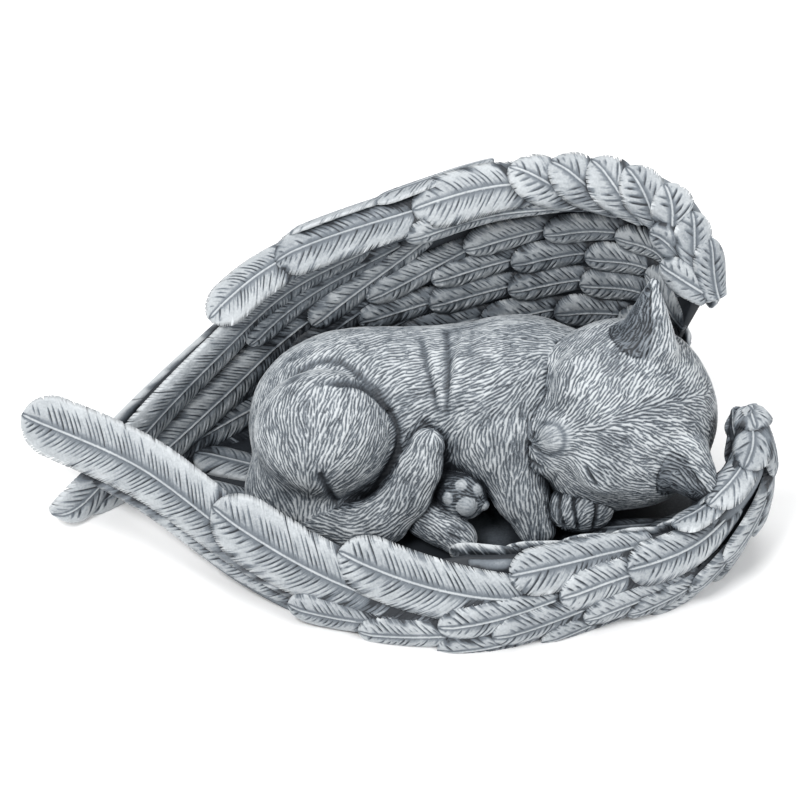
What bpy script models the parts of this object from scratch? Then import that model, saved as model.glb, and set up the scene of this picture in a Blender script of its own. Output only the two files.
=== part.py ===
"""Pet memorial statue: a kitten asleep in a pair of feathered wings.

The statue is cast in one piece. It is modelled here as one closed solid in metres, +Z up, standing on
its flat underside at z = 0. +X runs from the wing tips to the wing shoulders and the cat's head, and -Y
is the open side, where the low front wing lets the cat be seen.
"""

import math
from dataclasses import dataclass

import bmesh
import bpy
import numpy as np

# Driving sizes, in metres
LENGTH = 0.230
WING_THICKNESS = 0.0052
FLOOR_THICKNESS = 0.0065
FEATHER_THICKNESS = 0.0026
FEATHER_LIFT = 0.0030
BACK_LIP_RADIUS = 0.0075
FRONT_LIP_RADIUS = 0.0048

# One unit of the carving. The free form keeps its pose as shares of the length, 230 units long.
UNIT = LENGTH / 230.0

# Fineness of the cast surface
CAST_GRAIN = 0.95 * UNIT
TRIANGLES = 9900
CUT_DEPTH = 12.0 * UNIT

# Feathers that tuck in behind the tall wing's lip stand off it by this many units, the others by less
BEHIND_LIP = 0.36
TUCKED_BASE = 2.2
OPEN_BASE = 0.4

# The tall wing's outer flight feathers end short of the inner ones and lie lower, in shares of the wing
OUTER_SHORTER = 0.04
OUTER_LOWER = 0.13

# The statue is made to be looked at from this far above the level
VIEW_TILT = math.radians(38)

NODE = "pet_memorial_statue"


def unit_vector(vector):
    """Return the vector at length one."""
    vector = np.asarray(vector, float)
    return vector / np.linalg.norm(vector)


def unit_rows(rows):
    """Return each row of an array at length one."""
    return rows / np.maximum(np.linalg.norm(rows, axis=1, keepdims=True), 1e-9)


def smooth_through(knots, values, at):
    """Read a smooth curve that passes through the values at the knots."""
    slopes = np.gradient(values, knots, axis=0)
    left = np.clip(np.searchsorted(knots, at) - 1, 0, len(knots) - 2)
    gap = (knots[left + 1] - knots[left])[:, None]
    u = (at - knots[left])[:, None] / gap
    start = (2 * u**3 - 3 * u**2 + 1) * values[left] + (u**3 - 2 * u**2 + u) * slopes[left] * gap
    end = (3 * u**2 - 2 * u**3) * values[left + 1] + (u**3 - u**2) * slopes[left + 1] * gap
    return start + end


class Shell:
    """A wing's curved wall: s from 0 at the shoulder to 1 at the tips, t from 0 at the foot to 1 at the rim."""

    def __init__(self, columns):
        self.knots = np.array([column[0] for column in columns], float)
        self.foot, self.middle, self.rim = (
            np.array([column[k] for column in columns], float) * UNIT for k in (1, 2, 3)
        )

    def point(self, s, t):
        """Points of the wall."""
        s, t = np.atleast_1d(s).astype(float), np.atleast_1d(t).astype(float)[:, None]
        foot = smooth_through(self.knots, self.foot, s)
        middle = smooth_through(self.knots, self.middle, s)
        rim = smooth_through(self.knots, self.rim, s)
        control = 2 * middle - (foot + rim) / 2
        return (1 - t) ** 2 * foot + 2 * t * (1 - t) * control + t**2 * rim

    def normal(self, s, t):
        """Directions square to the wall, toward +Y."""
        s, t = np.atleast_1d(s).astype(float), np.atleast_1d(t).astype(float)
        step = 1e-3
        along = self.point(s + step, t) - self.point(s - step, t)
        up = self.point(s, t + step) - self.point(s, t - step)
        return unit_rows(np.cross(along, up))


class Lip:
    """The rounded rim of a wing. t runs 0 on its +Y side, 0.5 on top, 1 on its -Y side."""

    def __init__(self, shell, radius, fade):
        self.shell, self.radius, self.fade = shell, radius, fade

    def radius_at(self, s):
        """The lip's radius, full near the shoulder and thin toward the tips."""
        return self.radius * np.interp(s, (0.0, self.fade, 1.0), (1.0, 1.0, 0.2))

    def frame(self, s):
        """The lip's centre line, with its up and +Y directions."""
        s = np.atleast_1d(s).astype(float)
        rim = self.shell.point(s, np.ones_like(s))
        up = unit_rows(rim - self.shell.point(s, np.full_like(s, 0.9)))
        return rim - up * self.radius_at(s)[:, None], up, self.shell.normal(s, np.ones_like(s))

    def normal(self, s, t):
        """Directions square to the lip."""
        _, up, out = self.frame(s)
        turn = (np.atleast_1d(t).astype(float) * math.pi)[:, None]
        return np.cos(turn) * out + np.sin(turn) * up

    def point(self, s, t):
        """Points of the lip."""
        centre, _, _ = self.frame(s)
        return centre + self.normal(s, t) * self.radius_at(np.atleast_1d(s).astype(float))[:, None]


# Wing walls as columns: s, then the foot, the middle and the rim in carving units
BACK_WALL = Shell((
    (0.00, (78, 36, -4), (86, 34, 50), (92, 17, 82)),
    (0.12, (70, 46, -4), (79, 47, 56), (84, 32, 100)),
    (0.25, (52, 52, -4), (59, 56, 56), (63, 44, 105)),
    (0.40, (26, 54, -4), (31, 58, 52), (33, 50, 100)),
    (0.55, (-4, 52, -4), (0, 56, 46), (3, 51, 87)),
    (0.70, (-34, 44, -4), (-36, 49, 36), (-38, 45, 70)),
    (0.82, (-58, 33, -4), (-60, 38, 26), (-60, 36, 53)),
    (0.92, (-82, 20, -3), (-83, 23, 15), (-83, 22, 33)),
    (1.00, (-106, 4, 0), (-106, 5, 3), (-106, 6, 6)),
))
FRONT_WALL = Shell((
    (0.00, (92, 12, -4), (109, 3, 28), (104, -1, 49)),
    (0.10, (94, -9, -4), (106, -14, 20), (103, -13, 38)),
    (0.20, (83, -25, -4), (90, -30, 13.5), (89, -25, 25)),
    (0.35, (56, -39, -4), (58, -42, 12), (58, -34, 22)),
    (0.50, (20, -49, -4), (20, -50, 12), (20, -40, 23)),
    (0.62, (-14, -43, -2), (-12, -43, 13), (-7, -35, 27)),
    (0.75, (-47, -29, 5), (-45, -27, 16), (-41, -18, 29.5)),
    (0.88, (-81, -1, 13), (-79, 2, 20), (-77, 8, 28)),
    (1.00, (-110, 17, 22), (-112, 19, 26), (-111, 23, 31)),
))
BACK_RIM = ((0.56, 0.68), (1.0, 0.84))
FRONT_RIM = ((0.50, 0.64), (1.0, 0.74))
BACK_LIP = Lip(BACK_WALL, BACK_LIP_RADIUS, 0.35)
FRONT_LIP = Lip(FRONT_WALL, FRONT_LIP_RADIUS, 0.12)


@dataclass
class Feather:
    """One feather lying on a wing, from its root to its tip, both as (s, t) places on the surface."""

    surface: object
    side: int
    tip: tuple
    root: tuple
    half_width: float
    base: float = 2.4
    lift: float = 1.0
    bow: float = 0.0
    thickness: float = 1.0

    def path(self, along):
        """Places on the surface along the quill, 0 at the root and 1 at the tip."""
        s = self.root[0] + (self.tip[0] - self.root[0]) * along
        t = self.root[1] + (self.tip[1] - self.root[1]) * along + self.bow * 4 * along * (1 - along)
        return s, t

    def solid(self, steps=13, strips=6):
        """Points and faces of the closed feather: a rounded blade, cambered, lifted toward its tip."""
        reach = np.linspace(0, 1, 25)
        line = self.surface.point(*self.path(reach))
        length = np.linalg.norm(np.diff(line, axis=0), axis=1).sum()
        width = self.half_width * UNIT
        tip_radius = min(width * 1.15, length * 0.45)
        body = np.linspace(0.02, 1 - tip_radius / length, steps)
        tip = 1 - (1 - np.sin(np.linspace(0, math.pi / 2, 6)[1:-1])) * tip_radius / length
        along = np.concatenate([body, tip])
        to_tip = (1 - along) * length
        rounding = np.sqrt(np.clip(1 - np.clip(1 - to_tip / tip_radius, 0, 1) ** 2, 0, 1))
        half = width * (0.62 + 0.38 * np.sin(along * 1.95)) * rounding
        centre = self.surface.point(*self.path(along))
        normal = self.surface.normal(*self.path(along)) * self.side
        ahead = self.surface.point(*self.path(along + 1e-3))
        behind = self.surface.point(*self.path(along - 1e-3))
        across = unit_rows(np.cross(normal, ahead - behind))
        height = self.base * UNIT + FEATHER_LIFT * self.lift * along
        thick = FEATHER_THICKNESS * self.thickness
        upper = np.linspace(-1, 1, strips + 1)
        lower = np.linspace(1, -1, strips + 1)[1:-1]
        place = np.concatenate([upper, lower])
        blade = 0.35 + 0.65 * np.sqrt(1 - 0.98 * place**2)
        sign = np.where(np.arange(len(place)) <= strips, 0.5, -0.5)
        rise = thick * sign * blade - 1.2 * UNIT * place**2
        full = 0.5 + 0.5 * np.clip(half / width * 1.6, 0, 1)
        rings = (
            centre[:, None]
            + across[:, None] * (place[None, :, None] * half[:, None, None])
            + normal[:, None] * (height[:, None] + rise[None, :] * full[:, None])[:, :, None]
        )
        root_end = centre[0] + normal[0] * height[0]
        tip_end = self.surface.point(*self.path(np.array([1.0])))[0] + normal[-1] * height[-1]
        points = np.concatenate([rings.reshape(-1, 3), [root_end, tip_end]])
        return points, tube_faces(len(along), len(place), capped=True)


def tube_faces(rings, sides, capped):
    """Faces of a tube of rings. A capped tube has one more point at each end."""
    faces = []
    for ring in range(rings - 1):
        for side in range(sides):
            following = (side + 1) % sides
            low, high = ring * sides, (ring + 1) * sides
            faces.append((low + side, low + following, high + following, high + side))
    if capped:
        first, last = rings * sides, rings * sides + 1
        for side in range(sides):
            following = (side + 1) % sides
            faces.append((first, following, side))
            faces.append((last, (rings - 1) * sides + side, (rings - 1) * sides + following))
    else:
        faces.append(tuple(range(sides)))
        faces.append(tuple((rings - 1) * sides + side for side in reversed(range(sides))))
    return faces


def feather_row(surface, side, first, step, count, reach, half_width, **finish):
    """Feathers at an even step along a row, each reaching back to its root by the same amount."""
    row = []
    for number in range(count):
        tip = (first[0] + number * step[0], first[1] + number * step[1])
        root = (tip[0] + reach[0], tip[1] + reach[1])
        row.append(Feather(surface, side, tip, root, half_width, **finish))
    return row


def back_wing_feathers():
    """Feathers of the tall wing behind the cat."""
    inner, outer = -1, 1
    feathers = []
    # Long flight feathers that run to the tips, on both faces
    for tip, root, base in (
        ((0.93, 0.10), (0.62, 0.12), 1.4), ((0.94, 0.28), (0.61, 0.30), 2.0),
        ((0.955, 0.42), (0.60, 0.50), 2.8), ((0.985, 0.30), (0.60, 0.70), 3.6),
        ((1.01, 0.75), (0.60, 0.92), 4.6),
    ):
        feathers.append(Feather(BACK_WALL, inner, tip, root, 8.2, base=base, lift=0.2))
        outer_tip = (tip[0] - OUTER_SHORTER, tip[1] - OUTER_LOWER)
        outer_root = (root[0], root[1] - OUTER_LOWER)
        feathers.append(Feather(BACK_WALL, outer, outer_tip, outer_root, 8.2, base=base, lift=0.2))
    # Short feathers in rows on the inner face
    for t, first, count in (
        (0.74, 0.21, 3), (0.63, 0.13, 4), (0.52, 0.13, 4),
        (0.41, 0.17, 4), (0.30, 0.11, 4), (0.19, 0.15, 4),
    ):
        feathers += feather_row(BACK_WALL, inner, (first, t), (0.127, -0.003), count, (-0.16, 0.02), 6.4)
    # Longer feathers on the inner face, toward the tips
    for tip, root in (
        ((0.65, 0.40), (0.50, 0.50)), ((0.61, 0.53), (0.45, 0.52)), ((0.60, 0.63), (0.44, 0.73)),
        ((0.70, 0.46), (0.55, 0.64)), ((0.67, 0.60), (0.52, 0.84)), ((0.77, 0.71), (0.56, 0.85)),
    ):
        feathers.append(Feather(BACK_WALL, inner, tip, root, 6.2, base=2.8))
    # Rows on the outer face
    for t, first in ((0.86, 0.16), (0.66, 0.24), (0.46, 0.16), (0.26, 0.24), (0.08, 0.16)):
        feathers += feather_row(BACK_WALL, outer, (first, t), (0.13, -0.01), 5, (-0.20, 0.03), 9.0)
    # Feathers laid over the lip: long toward the tips, then short and turned up near the shoulder
    for tip, root, half_width in (
        ((0.82, 0.52), (0.60, 0.60), 8.0), ((0.68, 0.20), (0.50, 0.25), 6.5),
        ((0.705, 0.55), (0.48, 0.66), 8.0), ((0.59, 0.34), (0.42, 0.30), 5.5),
        ((0.55, 0.62), (0.30, 0.72), 8.5), ((0.56, 0.95), (0.26, 1.02), 5.0),
        ((0.40, 0.50), (0.25, 1.00), 7.8), ((0.34, 0.50), (0.20, 1.00), 7.8),
        ((0.28, 0.48), (0.15, 0.98), 7.8), ((0.225, 0.48), (0.10, 0.92), 7.2),
        ((0.16, 0.48), (0.05, 0.80), 7.0), ((0.10, 0.46), (0.00, 0.62), 6.0),
        ((0.06, 0.38), (-0.03, 0.45), 6.0), ((0.12, 0.92), (0.02, 0.62), 5.5),
        ((0.05, 0.92), (-0.02, 0.52), 5.5),
    ):
        base = TUCKED_BASE if tip[1] < BEHIND_LIP else OPEN_BASE
        feathers.append(Feather(BACK_LIP, 1, tip, root, half_width, base=base, lift=0.8))
    return feathers


def front_wing_feathers():
    """Feathers of the low wing in front of the cat."""
    inner, outer = 1, -1
    # The two long flight feathers that reach past the wall to the tip
    feathers = [
        Feather(
            FRONT_WALL, outer, (0.95, 0.34), (0.50, 0.02), 8.5, base=1.0, lift=0.2, bow=0.12, thickness=1.2
        ),
        Feather(
            FRONT_WALL, outer, (1.02, 0.62), (0.50, 0.15), 10.0, base=2.4, lift=0.3, bow=0.17, thickness=1.4
        ),
    ]
    # Broad feathers along the upper edge
    for tip, root, half_width, bow in (
        ((0.79, 0.72), (0.45, 0.46), 10.6, -0.04), ((0.65, 0.81), (0.37, 0.52), 9.2, 0.0),
        ((0.455, 0.80), (0.27, 0.92), 7.4, 0.0), ((0.40, 0.57), (0.23, 0.76), 6.6, 0.0),
        ((0.315, 0.72), (0.14, 0.86), 7.0, 0.0),
    ):
        feathers.append(Feather(FRONT_WALL, outer, tip, root, half_width, base=2.6, bow=bow))
    # Short feathers along the lower edge and round the shoulder
    for tip, root, half_width in (
        ((0.69, 0.20), (0.52, 0.36), 6.0), ((0.61, 0.18), (0.45, 0.38), 6.0),
        ((0.53, 0.14), (0.38, 0.28), 6.0), ((0.53, 0.38), (0.38, 0.58), 5.8),
        ((0.475, 0.30), (0.31, 0.48), 6.2), ((0.42, 0.16), (0.26, 0.34), 6.0),
        ((0.37, 0.32), (0.21, 0.52), 6.0), ((0.31, 0.28), (0.16, 0.50), 5.6),
        ((0.27, 0.10), (0.12, 0.34), 6.0), ((0.225, 0.36), (0.09, 0.64), 5.6),
        ((0.18, 0.50), (0.05, 0.76), 5.6), ((0.115, 0.40), (0.03, 0.84), 6.6),
        ((0.16, 0.14), (0.02, 0.40), 5.6), ((0.05, 0.20), (0.00, 0.70), 5.6),
        ((0.08, 0.74), (0.00, 1.02), 5.4),
    ):
        feathers.append(Feather(FRONT_WALL, outer, tip, root, half_width, base=3.0))
    # Feathers on the inner face
    for t, first in ((0.90, 0.16), (0.62, 0.22), (0.34, 0.16)):
        feathers += feather_row(FRONT_WALL, inner, (first, t), (0.10, 0.0), 4, (-0.13, 0.0), 5.6)
    # Small feathers over the lip
    for t, first, count in ((0.10, 0.05, 6), (0.42, 0.08, 6), (0.72, 0.05, 3)):
        for number in range(count):
            tip_s = first + 0.085 * number
            root = (max(tip_s - 0.13, 0.0), t - 0.08)
            feathers.append(Feather(FRONT_LIP, 1, (tip_s, t), root, 5.8, base=0.5, lift=0.5))
    return feathers


def wall_solid(shell, last_s, rim, steps=44, strips=12):
    """Points and faces of a wing's wall. rim gives two places along it and its height at each."""
    rings = []
    for s in np.linspace(0.0, last_s, steps):
        t = np.linspace(-0.02, float(np.interp(s, *rim)), strips)
        place = shell.point(np.full(strips, s), t)
        thickness = WING_THICKNESS * np.interp(s, (0, 0.9, 1), (1, 1, 0.5))
        half = shell.normal(np.full(strips, s), t) * thickness / 2
        rings.append(np.concatenate([place + half, (place - half)[::-1]]))
    return np.concatenate(rings), tube_faces(steps, 2 * strips, capped=False)


def lip_solid(lip, last_s, steps=40, sides=14):
    """Points and faces of a wing's rounded rim."""
    turns = np.linspace(0, 2, sides, endpoint=False)
    rings = [lip.point(np.full(sides, s), turns) for s in np.linspace(0.0, last_s, steps)]
    return np.concatenate(rings), tube_faces(steps, sides, capped=False)


def floor_solid(steps=26):
    """Points and faces of the nest's floor, between the feet of both wings."""
    front = FRONT_WALL.point(np.linspace(0.0, 0.78, steps), np.zeros(steps))
    front[:, 1] += np.maximum(front[:, 2], 0.0) / math.tan(VIEW_TILT)
    back = BACK_WALL.point(np.linspace(0.86, 0.0, steps), np.zeros(steps))
    outline = np.concatenate([front, back])
    low, high = outline.copy(), outline.copy()
    low[:, 2] = -CUT_DEPTH / 2
    high[:, 2] = FLOOR_THICKNESS
    return np.concatenate([low, high]), tube_faces(2, 2 * steps, capped=False)


class Ball:
    """An ellipsoid of clay. Its radii lie along the rows of axes."""

    carve = False

    def __init__(self, centre, radii, axes=None, blend=0.0):
        self.centre, self.radii = np.array(centre, float), np.array(radii, float)
        self.axes = np.eye(3) if axes is None else np.array(axes, float)
        self.blend = blend

    def distance(self, points):
        """Roughly how far the points lie outside the ellipsoid."""
        local = (points - self.centre) @ self.axes.T
        first = np.linalg.norm(local / self.radii, axis=1)
        second = np.linalg.norm(local / self.radii**2, axis=1)
        return first * (first - 1) / np.maximum(second, 1e-9)

    def beads(self):
        """The spheres that the lump is first built from: centre, radii and axes."""
        return [(self.centre, self.radii, self.axes)]


class Limb:
    """A round limb of clay between two points, each with its radius. It may be flattened one way."""

    def __init__(self, start, end, start_radius, end_radius, blend=0.0, flat=None, flatness=1.0, carve=False):
        self.start, self.end = np.array(start, float), np.array(end, float)
        self.start_radius, self.end_radius = start_radius, end_radius
        self.blend = blend
        self.flat = None if flat is None else unit_vector(flat)
        self.flatness = flatness
        self.carve = carve

    def distance(self, points):
        """Roughly how far the points lie outside the limb."""
        line = self.end - self.start
        offset = points - self.start
        share = np.clip(offset @ line / (line @ line), 0, 1)
        offset = offset - share[:, None] * line
        if self.flat is not None:
            offset = offset + np.outer(offset @ self.flat, self.flat) * (1 / self.flatness - 1)
        radius = self.start_radius + (self.end_radius - self.start_radius) * share
        reach = np.linalg.norm(offset, axis=1) - radius
        return reach * (self.flatness if self.flat is not None else 1.0)

    def beads(self):
        """The spheres that the limb is first built from: centre, radii and axes."""
        span = np.linalg.norm(self.end - self.start)
        count = max(2, int(span / (min(self.start_radius, self.end_radius) * 0.5)) + 1)
        axes = np.eye(3) if self.flat is None else flat_axes(self.flat)
        beads = []
        for share in np.linspace(0, 1, count):
            radius = self.start_radius + (self.end_radius - self.start_radius) * share
            centre = self.start + (self.end - self.start) * share
            beads.append((centre, np.array([radius, radius, radius * self.flatness]), axes))
        return beads


def flat_axes(direction):
    """Three square axes, the last of them the given direction."""
    side = unit_vector(np.cross(direction, (0.3, 0.5, 0.8)))
    return np.array([side, np.cross(direction, side), direction])


def smooth_min(first, second, blend):
    """The nearer of two distances, rounded where they meet."""
    if blend <= 0:
        return np.minimum(first, second)
    share = np.maximum(blend - np.abs(first - second), 0) / blend
    return np.minimum(first, second) - share**2 * blend / 4


def clay(lumps, points):
    """Distance to the lumps pressed together."""
    distance = lumps[0].distance(points)
    for lump in lumps[1:]:
        if lump.carve:
            distance = -smooth_min(-distance, lump.distance(points), lump.blend)
        else:
            distance = smooth_min(distance, lump.distance(points), lump.blend)
    return distance


# The cat's head: the skull's centre and its own directions, toward the nose, the upper ear and the crown
SKULL = np.array((68.0, 8.3, 39.1))
NOD = math.radians(33)
IN_VIEW = unit_vector((-0.957, -0.29 * math.sin(VIEW_TILT), -0.29 * math.cos(VIEW_TILT)))
TO_VIEWER = np.array((0.0, -math.cos(VIEW_TILT), math.sin(VIEW_TILT)))
NOSEWARD = math.cos(NOD) * IN_VIEW + math.sin(NOD) * TO_VIEWER
CROWNWARD = math.cos(NOD) * TO_VIEWER - math.sin(NOD) * IN_VIEW
EARWARD = -np.cross(NOSEWARD, CROWNWARD)
HEAD_AXES = np.array((NOSEWARD, EARWARD, CROWNWARD))


def on_head(nose, ear, crown):
    """A point of the head from its distances along the head's own directions."""
    return SKULL + np.array((nose, ear, crown)) @ HEAD_AXES


def torso_lumps():
    """Rump, barrel, chest, shoulder and the foreleg that lies in front."""
    return [
        Ball((6, 22, 29.5), (44, 25, 27.5)),
        Ball((-20, 17, 27), (27, 27, 27), blend=14),
        Ball((36, 21, 31.5), (26, 25, 28), blend=14),
        Limb((44, 20, 34), (62, 17, 36), 24, 20, blend=12),
        Ball((28, 9, 40), (18, 18, 21), blend=9),
        Limb((31, 0, 34), (37, -9, 22), 11.5, 8.0, blend=7),
        Limb((37, -9, 22), (42, -14, 12.5), 7.8, 6.2, blend=3),
    ]


def thigh_lumps():
    """The round thigh of the hind leg on top."""
    return [Ball((-23.5, -0.5, 38.3), (21, 18, 20.5)), Limb((-36, -1, 18), (-22, -8, 12), 12, 9, blend=6)]


def tail_lumps():
    """The tail, from under the thigh round to its tip, which stands against the belly."""
    knots = (
        ((-44, 8, 13), 4.5), ((-36, -3, 13), 5.5), ((-26, -10, 12.5), 6.3), ((-14, -14, 13), 7.0),
        ((-5, -14, 16), 7.4), ((2, -11, 23), 7.2), ((6, -8, 31), 6.4), ((8.5, -6, 38.5), 5.2),
    )
    return [Limb(a, b, ra, rb, blend=3) for (a, ra), (b, rb) in zip(knots[:-1], knots[1:])]


def hind_paw_lumps():
    """The hind paw that shows its pads, and the other hind foot below it."""
    paw = [Ball((19.5, -11, 22), (7.2, 6, 7.2)), Limb((12, -2, 20), (19, -9, 22), 7, 6, blend=3)]
    return paw + [Limb((8, -12, 14.5), (18, -19, 12.5), 6.6, 5.6, blend=0.8)]


def chin_paw_lumps():
    """The forepaw under the chin."""
    return [Limb((63, 6, 20), (58, -3, 17), 8.5, 8), Ball((55.8, -9.6, 16.8), (10.2, 8, 7.8), blend=3)]


def ear_frame(side):
    """An ear's base, its tip and the direction that its hollow faces."""
    base, tip = on_head(-4, 19.5 * side, 18), on_head(-6.5, 34.6 * side, 25.5)
    return base, tip, unit_vector(on_head(0.82, 0.30 * side, -0.05) - SKULL)


def head_lumps():
    """Skull, muzzle, cheeks, nose, closed eyes and ears."""
    lumps = [
        Ball(on_head(-1, 0, 0), (29, 29.5, 28.5), HEAD_AXES),
        Ball(on_head(23, 0, -4), (10.5, 10.5, 9.5), HEAD_AXES, blend=7),
        Ball(on_head(28, 0, 3.6), (4.6, 5.2, 4.4), HEAD_AXES, blend=3),
        Ball(on_head(24, 0, -13), (6.5, 6.5, 5.0), HEAD_AXES, blend=3),
    ]
    for side in (1, -1):
        lumps.append(Ball(on_head(27, 4.8 * side, -6), (6.8, 6.6, 6.0), HEAD_AXES, blend=2.5))
        lumps.append(Ball(on_head(12, 14 * side, -7), (13, 12, 12), HEAD_AXES, blend=6))
        lumps.append(Ball(on_head(19, 13.5 * side, 8.6), (7, 7.5, 5), HEAD_AXES, blend=5))
        base, tip, out = ear_frame(side)
        lumps.append(Limb(base, tip, 11.5, 1.8, blend=2, flat=out, flatness=0.62))
        hollow, point = base + 5.0 * out, base + 0.9 * (tip - base) + 2.0 * out
        lumps.append(Limb(hollow, point, 9.0, 1.3, blend=1, flat=out, flatness=0.68, carve=True))
    return lumps


CAT_PARTS = (torso_lumps, thigh_lumps, tail_lumps, hind_paw_lumps, chin_paw_lumps, head_lumps)


def mesh_object(name, points, faces):
    """A new object with the given points and faces, its faces pointing out."""
    mesh = bpy.data.meshes.new(name)
    mesh.from_pydata([tuple(point) for point in points], [], faces)
    shape = bmesh.new()
    shape.from_mesh(mesh)
    bmesh.ops.recalc_face_normals(shape, faces=shape.faces)
    shape.to_mesh(mesh)
    shape.free()
    thing = bpy.data.objects.new(name, mesh)
    bpy.context.scene.collection.objects.link(thing)
    return thing


def read_points(mesh):
    """A mesh's points as rows."""
    values = np.empty(len(mesh.vertices) * 3)
    mesh.vertices.foreach_get("co", values)
    return values.reshape(-1, 3)


def write_points(mesh, points):
    """Give a mesh new points."""
    mesh.vertices.foreach_set("co", points.ravel())
    mesh.update()


def join(things):
    """Join objects into the first of them."""
    bpy.ops.object.select_all(action="DESELECT")
    for thing in things:
        thing.select_set(True)
    bpy.context.view_layer.objects.active = things[0]
    bpy.ops.object.join()
    return bpy.context.object


def apply_modifier(thing, kind, **settings):
    """Add a modifier to an object and apply it."""
    modifier = thing.modifiers.new(kind.title(), kind)
    for setting, value in settings.items():
        setattr(modifier, setting, value)
    bpy.context.view_layer.objects.active = thing
    bpy.ops.object.modifier_apply(modifier=modifier.name)


def clay_object(name, lumps, grain, passes=4):
    """Model lumps of clay: join spheres, remesh them, then draw the skin onto the rounded form."""
    spheres = []
    for lump in lumps:
        for centre, radii, axes in [] if lump.carve else lump.beads():
            bpy.ops.mesh.primitive_uv_sphere_add(segments=20, ring_count=12, radius=1)
            sphere = bpy.context.object
            write_points(sphere.data, ((read_points(sphere.data) * radii) @ axes + centre) * UNIT)
            spheres.append(sphere)
    thing = join(spheres)
    thing.name = name
    apply_modifier(thing, "REMESH", mode="VOXEL", voxel_size=grain)
    points = read_points(thing.data) / UNIT
    corners = np.array([(1, -1, -1), (-1, -1, 1), (-1, 1, -1), (1, 1, 1)], float)
    for _ in range(passes):
        slope = sum(corner * clay(lumps, points + 0.15 * corner)[:, None] for corner in corners)
        points = points - unit_rows(slope) * np.clip(clay(lumps, points), -2, 2)[:, None]
    write_points(thing.data, points * UNIT)
    return thing


def cut_flat(thing):
    """Cut away what lies below the ground, and close the cut."""
    shape = bmesh.new()
    shape.from_mesh(thing.data)
    whole = shape.verts[:] + shape.edges[:] + shape.faces[:]
    cut = bmesh.ops.bisect_plane(
        shape, geom=whole, plane_co=(0, 0, 0), plane_no=(0, 0, -1), clear_outer=True, dist=1e-7
    )
    rim = [item for item in cut["geom_cut"] if isinstance(item, bmesh.types.BMEdge)]
    bmesh.ops.holes_fill(shape, edges=rim, sides=0)
    bmesh.ops.triangulate(shape, faces=shape.faces[:])
    shape.to_mesh(thing.data)
    shape.free()
    thing.data.update()


def cast_resin():
    """The finish of the cast resin."""
    material = bpy.data.materials.new("grey_cast_resin")
    material.use_nodes = True
    shader = material.node_tree.nodes["Principled BSDF"]
    shader.inputs["Base Color"].default_value = (0.33, 0.37, 0.41, 1.0)
    shader.inputs["Roughness"].default_value = 0.62
    shader.inputs["Metallic"].default_value = 0.0
    return material


def build_statue():
    """Model every form of the statue and cast them as one solid."""
    forms = []
    for number, part in enumerate(CAT_PARTS):
        forms.append(clay_object(f"cat_{number}", part(), CAST_GRAIN))
    forms.append(mesh_object("back_wall", *wall_solid(BACK_WALL, 0.91, BACK_RIM)))
    forms.append(mesh_object("front_wall", *wall_solid(FRONT_WALL, 0.93, FRONT_RIM)))
    forms.append(mesh_object("back_lip", *lip_solid(BACK_LIP, 0.64)))
    forms.append(mesh_object("front_lip", *lip_solid(FRONT_LIP, 0.5)))
    forms.append(mesh_object("floor", *floor_solid()))
    for number, feather in enumerate(back_wing_feathers() + front_wing_feathers()):
        forms.append(mesh_object(f"feather_{number}", *feather.solid()))
    statue = join(forms)
    statue.name = NODE
    statue.data.name = NODE
    apply_modifier(statue, "REMESH", mode="VOXEL", voxel_size=CAST_GRAIN)
    faces = len(statue.data.polygons) * 2
    apply_modifier(statue, "DECIMATE", ratio=TRIANGLES / faces)
    cut_flat(statue)
    points = read_points(statue.data)
    centre = (points.min(axis=0) + points.max(axis=0)) / 2
    write_points(statue.data, points - (centre[0], centre[1], 0.0))
    statue.data.materials.clear()
    statue.data.materials.append(cast_resin())
    return statue


def main():
    """Clear the scene and build the statue."""
    for thing in list(bpy.data.objects):
        bpy.data.objects.remove(thing)
    build_statue()


if __name__ == "__main__":
    main()
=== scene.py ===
"""Finish of a pet memorial statue: a kitten asleep in a pair of feathered wings, cast in grey resin.

Every visible form is modelled again at full fineness in the frame's own place: the wings' walls, each
carved feather with its quill and barbs, the kitten with its strokes of fur, and the floor of the nest.
Lengths of the carving are in millimetres until they are written to a mesh.
"""

import logging
import math
from dataclasses import dataclass, field
from enum import Enum
from typing import Callable, Iterable, Sequence

import bpy
import numpy as np
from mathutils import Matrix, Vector
from mathutils.bvhtree import BVHTree
from mathutils.kdtree import KDTree


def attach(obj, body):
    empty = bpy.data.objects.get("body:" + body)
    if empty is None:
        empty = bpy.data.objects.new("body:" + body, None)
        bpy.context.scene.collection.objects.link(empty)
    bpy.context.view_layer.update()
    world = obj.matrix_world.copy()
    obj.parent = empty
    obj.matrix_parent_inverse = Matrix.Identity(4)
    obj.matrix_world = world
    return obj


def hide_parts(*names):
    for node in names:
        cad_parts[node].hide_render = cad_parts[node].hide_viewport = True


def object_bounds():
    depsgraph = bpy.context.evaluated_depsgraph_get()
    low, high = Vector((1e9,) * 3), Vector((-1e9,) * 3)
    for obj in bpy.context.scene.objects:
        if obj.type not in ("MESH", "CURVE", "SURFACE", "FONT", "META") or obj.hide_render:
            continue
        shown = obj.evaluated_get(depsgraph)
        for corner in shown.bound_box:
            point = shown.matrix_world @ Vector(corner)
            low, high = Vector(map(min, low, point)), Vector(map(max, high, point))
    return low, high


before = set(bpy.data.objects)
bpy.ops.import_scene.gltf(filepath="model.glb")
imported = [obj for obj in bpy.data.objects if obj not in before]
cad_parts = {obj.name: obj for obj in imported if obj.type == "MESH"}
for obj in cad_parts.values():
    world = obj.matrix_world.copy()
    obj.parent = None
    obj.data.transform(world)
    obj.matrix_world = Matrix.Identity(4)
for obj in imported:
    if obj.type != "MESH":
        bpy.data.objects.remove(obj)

CAD_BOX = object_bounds()
NODE = "pet_memorial_statue"
UNIT = 0.001
SEED = 11
SMALL_STEP = 1e-3

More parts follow.
